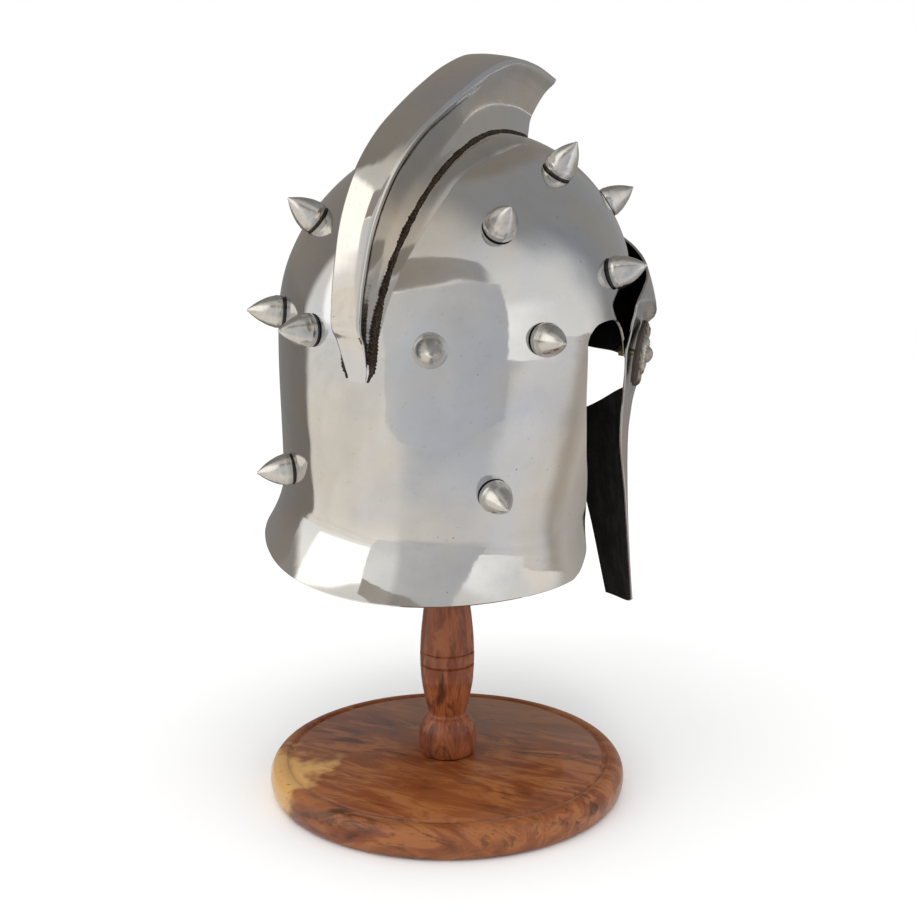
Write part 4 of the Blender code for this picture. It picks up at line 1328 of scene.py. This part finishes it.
def make_world():
    """Soft studio: a pale surround with wide bright and grey panels in it."""
    world = bpy.data.worlds.new("studio")
    bpy.context.scene.world = world
    world.use_nodes = True
    nodes = Nodes(world.node_tree, "Generated")
    rise = nodes.sum(nodes.sum(nodes.measure("DOT_PRODUCT", UP), 0.5, "MULTIPLY"), 0.5)
    colour = nodes.ramp(rise, SKY, False)
    for across, height, half_width, half_height, soft, shade in PANELS:
        way = studio_way(across, height)
        side = studio_way(across + 90.0, 0.0)
        depth = nodes.sum(nodes.measure("DOT_PRODUCT", way), 0.001, "MAXIMUM")
        mask = 1.0
        for axis, half in ((side, half_width), (way.cross(side), half_height)):
            turn = nodes.sum(nodes.measure("DOT_PRODUCT", axis), depth, "ARCTAN2")
            away = nodes.sum(turn, 0.0, "ABSOLUTE")
            low = math.radians(max(0.0, half - soft / 2.0))
            high = math.radians(half + soft / 2.0)
            mask = nodes.sum(mask, nodes.span(away, low, high, 1.0, 0.0), "MULTIPLY")
        colour = nodes.blend(mask, colour, shade)
    rays = nodes.add("ShaderNodeLightPath").outputs
    colour = nodes.blend(rays["Is Diffuse Ray"], colour, MATT_SKY)
    colour = nodes.blend(rays["Is Camera Ray"], colour, CAMERA_SKY)
    nodes.fill(world.node_tree.nodes["Background"], {"Color": colour, "Strength": 1.0})


def make_card(name, across, distance, outline, first, second, left, right, top):
    """Studio card that only reflections see, with one colour running into another along it."""
    way = studio_way(across, 0.0)
    side = studio_way(across + 90.0, 0.0)
    frame = Matrix((side, UP, side.cross(UP))).transposed().to_4x4()
    frame.translation = Vector((SEAT_X, SEAT_Y, 0.0)) + way * distance
    low = min(u for u, v in outline)
    high = max(u for u, v in outline)
    peak = max(v for u, v in outline)
    look = Look(name)
    run = look.axis("X")
    cloud = look.span(look.noise(5.0, 2.0), 0.3, 0.7, -0.15, 0.15)
    share = look.sum(look.span(run, low, high, 0.0, 1.0), cloud)
    light = look.add("ShaderNodeEmission", {"Color": look.blend(share, first, second)}).outputs[0]
    cover = look.span(run, low, low + left + 0.0001, 0.0, 1.0)
    cover = look.sum(cover, look.span(run, high - right - 0.0001, high, 1.0, 0.0), "MULTIPLY")
    if top:
        cover = look.sum(cover, look.span(look.axis("Y"), peak - top, peak, 1.0, 0.0), "MULTIPLY")
    clear = look.add("ShaderNodeBsdfTransparent").outputs[0]
    mixed = look.add("ShaderNodeMixShader", {0: cover, 1: clear, 2: light}).outputs[0]
    verts = [(u, v, 0.0) for u, v in outline]
    stage(name, verts, [list(range(len(outline)))], look.glow(mixed), frame)


def floor_tone(across, radius):
    """Colour of the floor ring, with a painted shadow of the camera card on the floor in front of it."""
    for (a, first), (b, second) in zip(FLOOR_TONES, FLOOR_TONES[1:]):
        if across <= b:
            share = smooth((across - a) / (b - a))
            tone = [mix(p, q, share) for p, q in zip(first, second)]
            break
    # painted shadow: the camera card's shadow on the floor, darker in front of the card
    foot = smooth((across + 24.0) / 30.0) * smooth((50.0 - across) / 10.0)
    foot *= smooth((radius - 0.26) / 0.09)
    return [mix(v, 0.60, foot) for v in tone]


def make_floor_ring():
    """Flat ring just over the floor, seen only in reflections, toned by direction."""
    verts = []
    tones = []
    for radius in RING_RADII:
        for k in range(RING_SIDES):
            across = 360.0 * k / RING_SIDES - 180.0
            way = studio_way(across, 0.0)
            verts.append((way.x * radius, way.y * radius, RING_HEIGHT))
            tones.append((*floor_tone(across, radius), 1.0))
    look = Look("floor_ring")
    tone = look.add("ShaderNodeAttribute", attribute_name="tone").outputs["Color"]
    cloud = look.span(look.noise(3.0, 2.0), 0.3, 0.7, 0.94, 1.06)
    light = look.add("ShaderNodeEmission", {"Color": tone, "Strength": cloud}).outputs[0]
    faces = bridged(ring_numbers(len(RING_RADII), RING_SIDES))
    mesh = stage("floor_ring", verts, faces, look.glow(light), Matrix.Identity(4))
    layer = mesh.color_attributes.new("tone", "FLOAT_COLOR", "POINT")
    for item, tone in zip(layer.data, tones):
        item.color = tone


def make_light(name, across, rise, distance, size, power, colour):
    way = studio_way(across, rise)
    data = bpy.data.lights.new(name, "AREA")
    data.shape = "RECTANGLE"
    data.size = size[0]
    data.size_y = size[1]
    data.energy = power
    data.color = colour
    made = bpy.data.objects.new(name, data)
    bpy.context.scene.collection.objects.link(made)
    made.location = UP * LIT_HEIGHT + way * distance
    made.rotation_mode = "QUATERNION"
    made.rotation_quaternion = way.to_track_quat("Z", "Y")
    made.visible_camera = False
    made.visible_glossy = False


def corners(box):
    return [[float(v) for v in corner] for corner in box]


def main():
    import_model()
    make_camera()
    make_world()
    make_floor()
    make_floor_ring()
    for card in CARDS:
        make_card(*card)
    for light in LIGHTS:
        make_light(*light)
    steel = steel_look("polished_sheet", (0.60, 0.615, 0.64), (0.68, 0.635, 0.565), 0.045, 0.11, 0.0012)
    band = steel_look("polished_comb", (0.66, 0.675, 0.71), (0.74, 0.68, 0.585), 0.07, 0.15, 0.0007)
    plate = steel_look("satin_plate", (0.44, 0.445, 0.46), (0.50, 0.47, 0.43), 0.18, 0.32, 0.0004, False)
    paint = paint_look()
    tree = weld_tree([weld_path(1.0), weld_path(-1.0)])
    make_skull([steel, paint], tree)
    make_comb(band, tree)
    weld = weld_look()
    make_weld(1.0, "comb_weld_left", weld)
    make_weld(-1.0, "comb_weld_right", weld)
    make_spikes(spike_look())
    make_mask([plate, paint])
    cast = cast_look()
    brass = brass_look()
    for side, word in ((1.0, "left"), (-1.0, "right")):
        make_rosette(side, word, cast)
        make_bolt(side, word, [brass, cast])
    make_base(wood_look("varnished_base", (6.0, 22.0, 22.0), (0.0, 0.0, 0.9), *BASE_COLOURS, SAPWOOD))
    make_post(wood_look("varnished_post", (30.0, 30.0, 8.0), (0.12, 0.10, 0.0), *POST_COLOURS))
    bpy.context.scene.view_settings.view_transform = "Standard"


main()
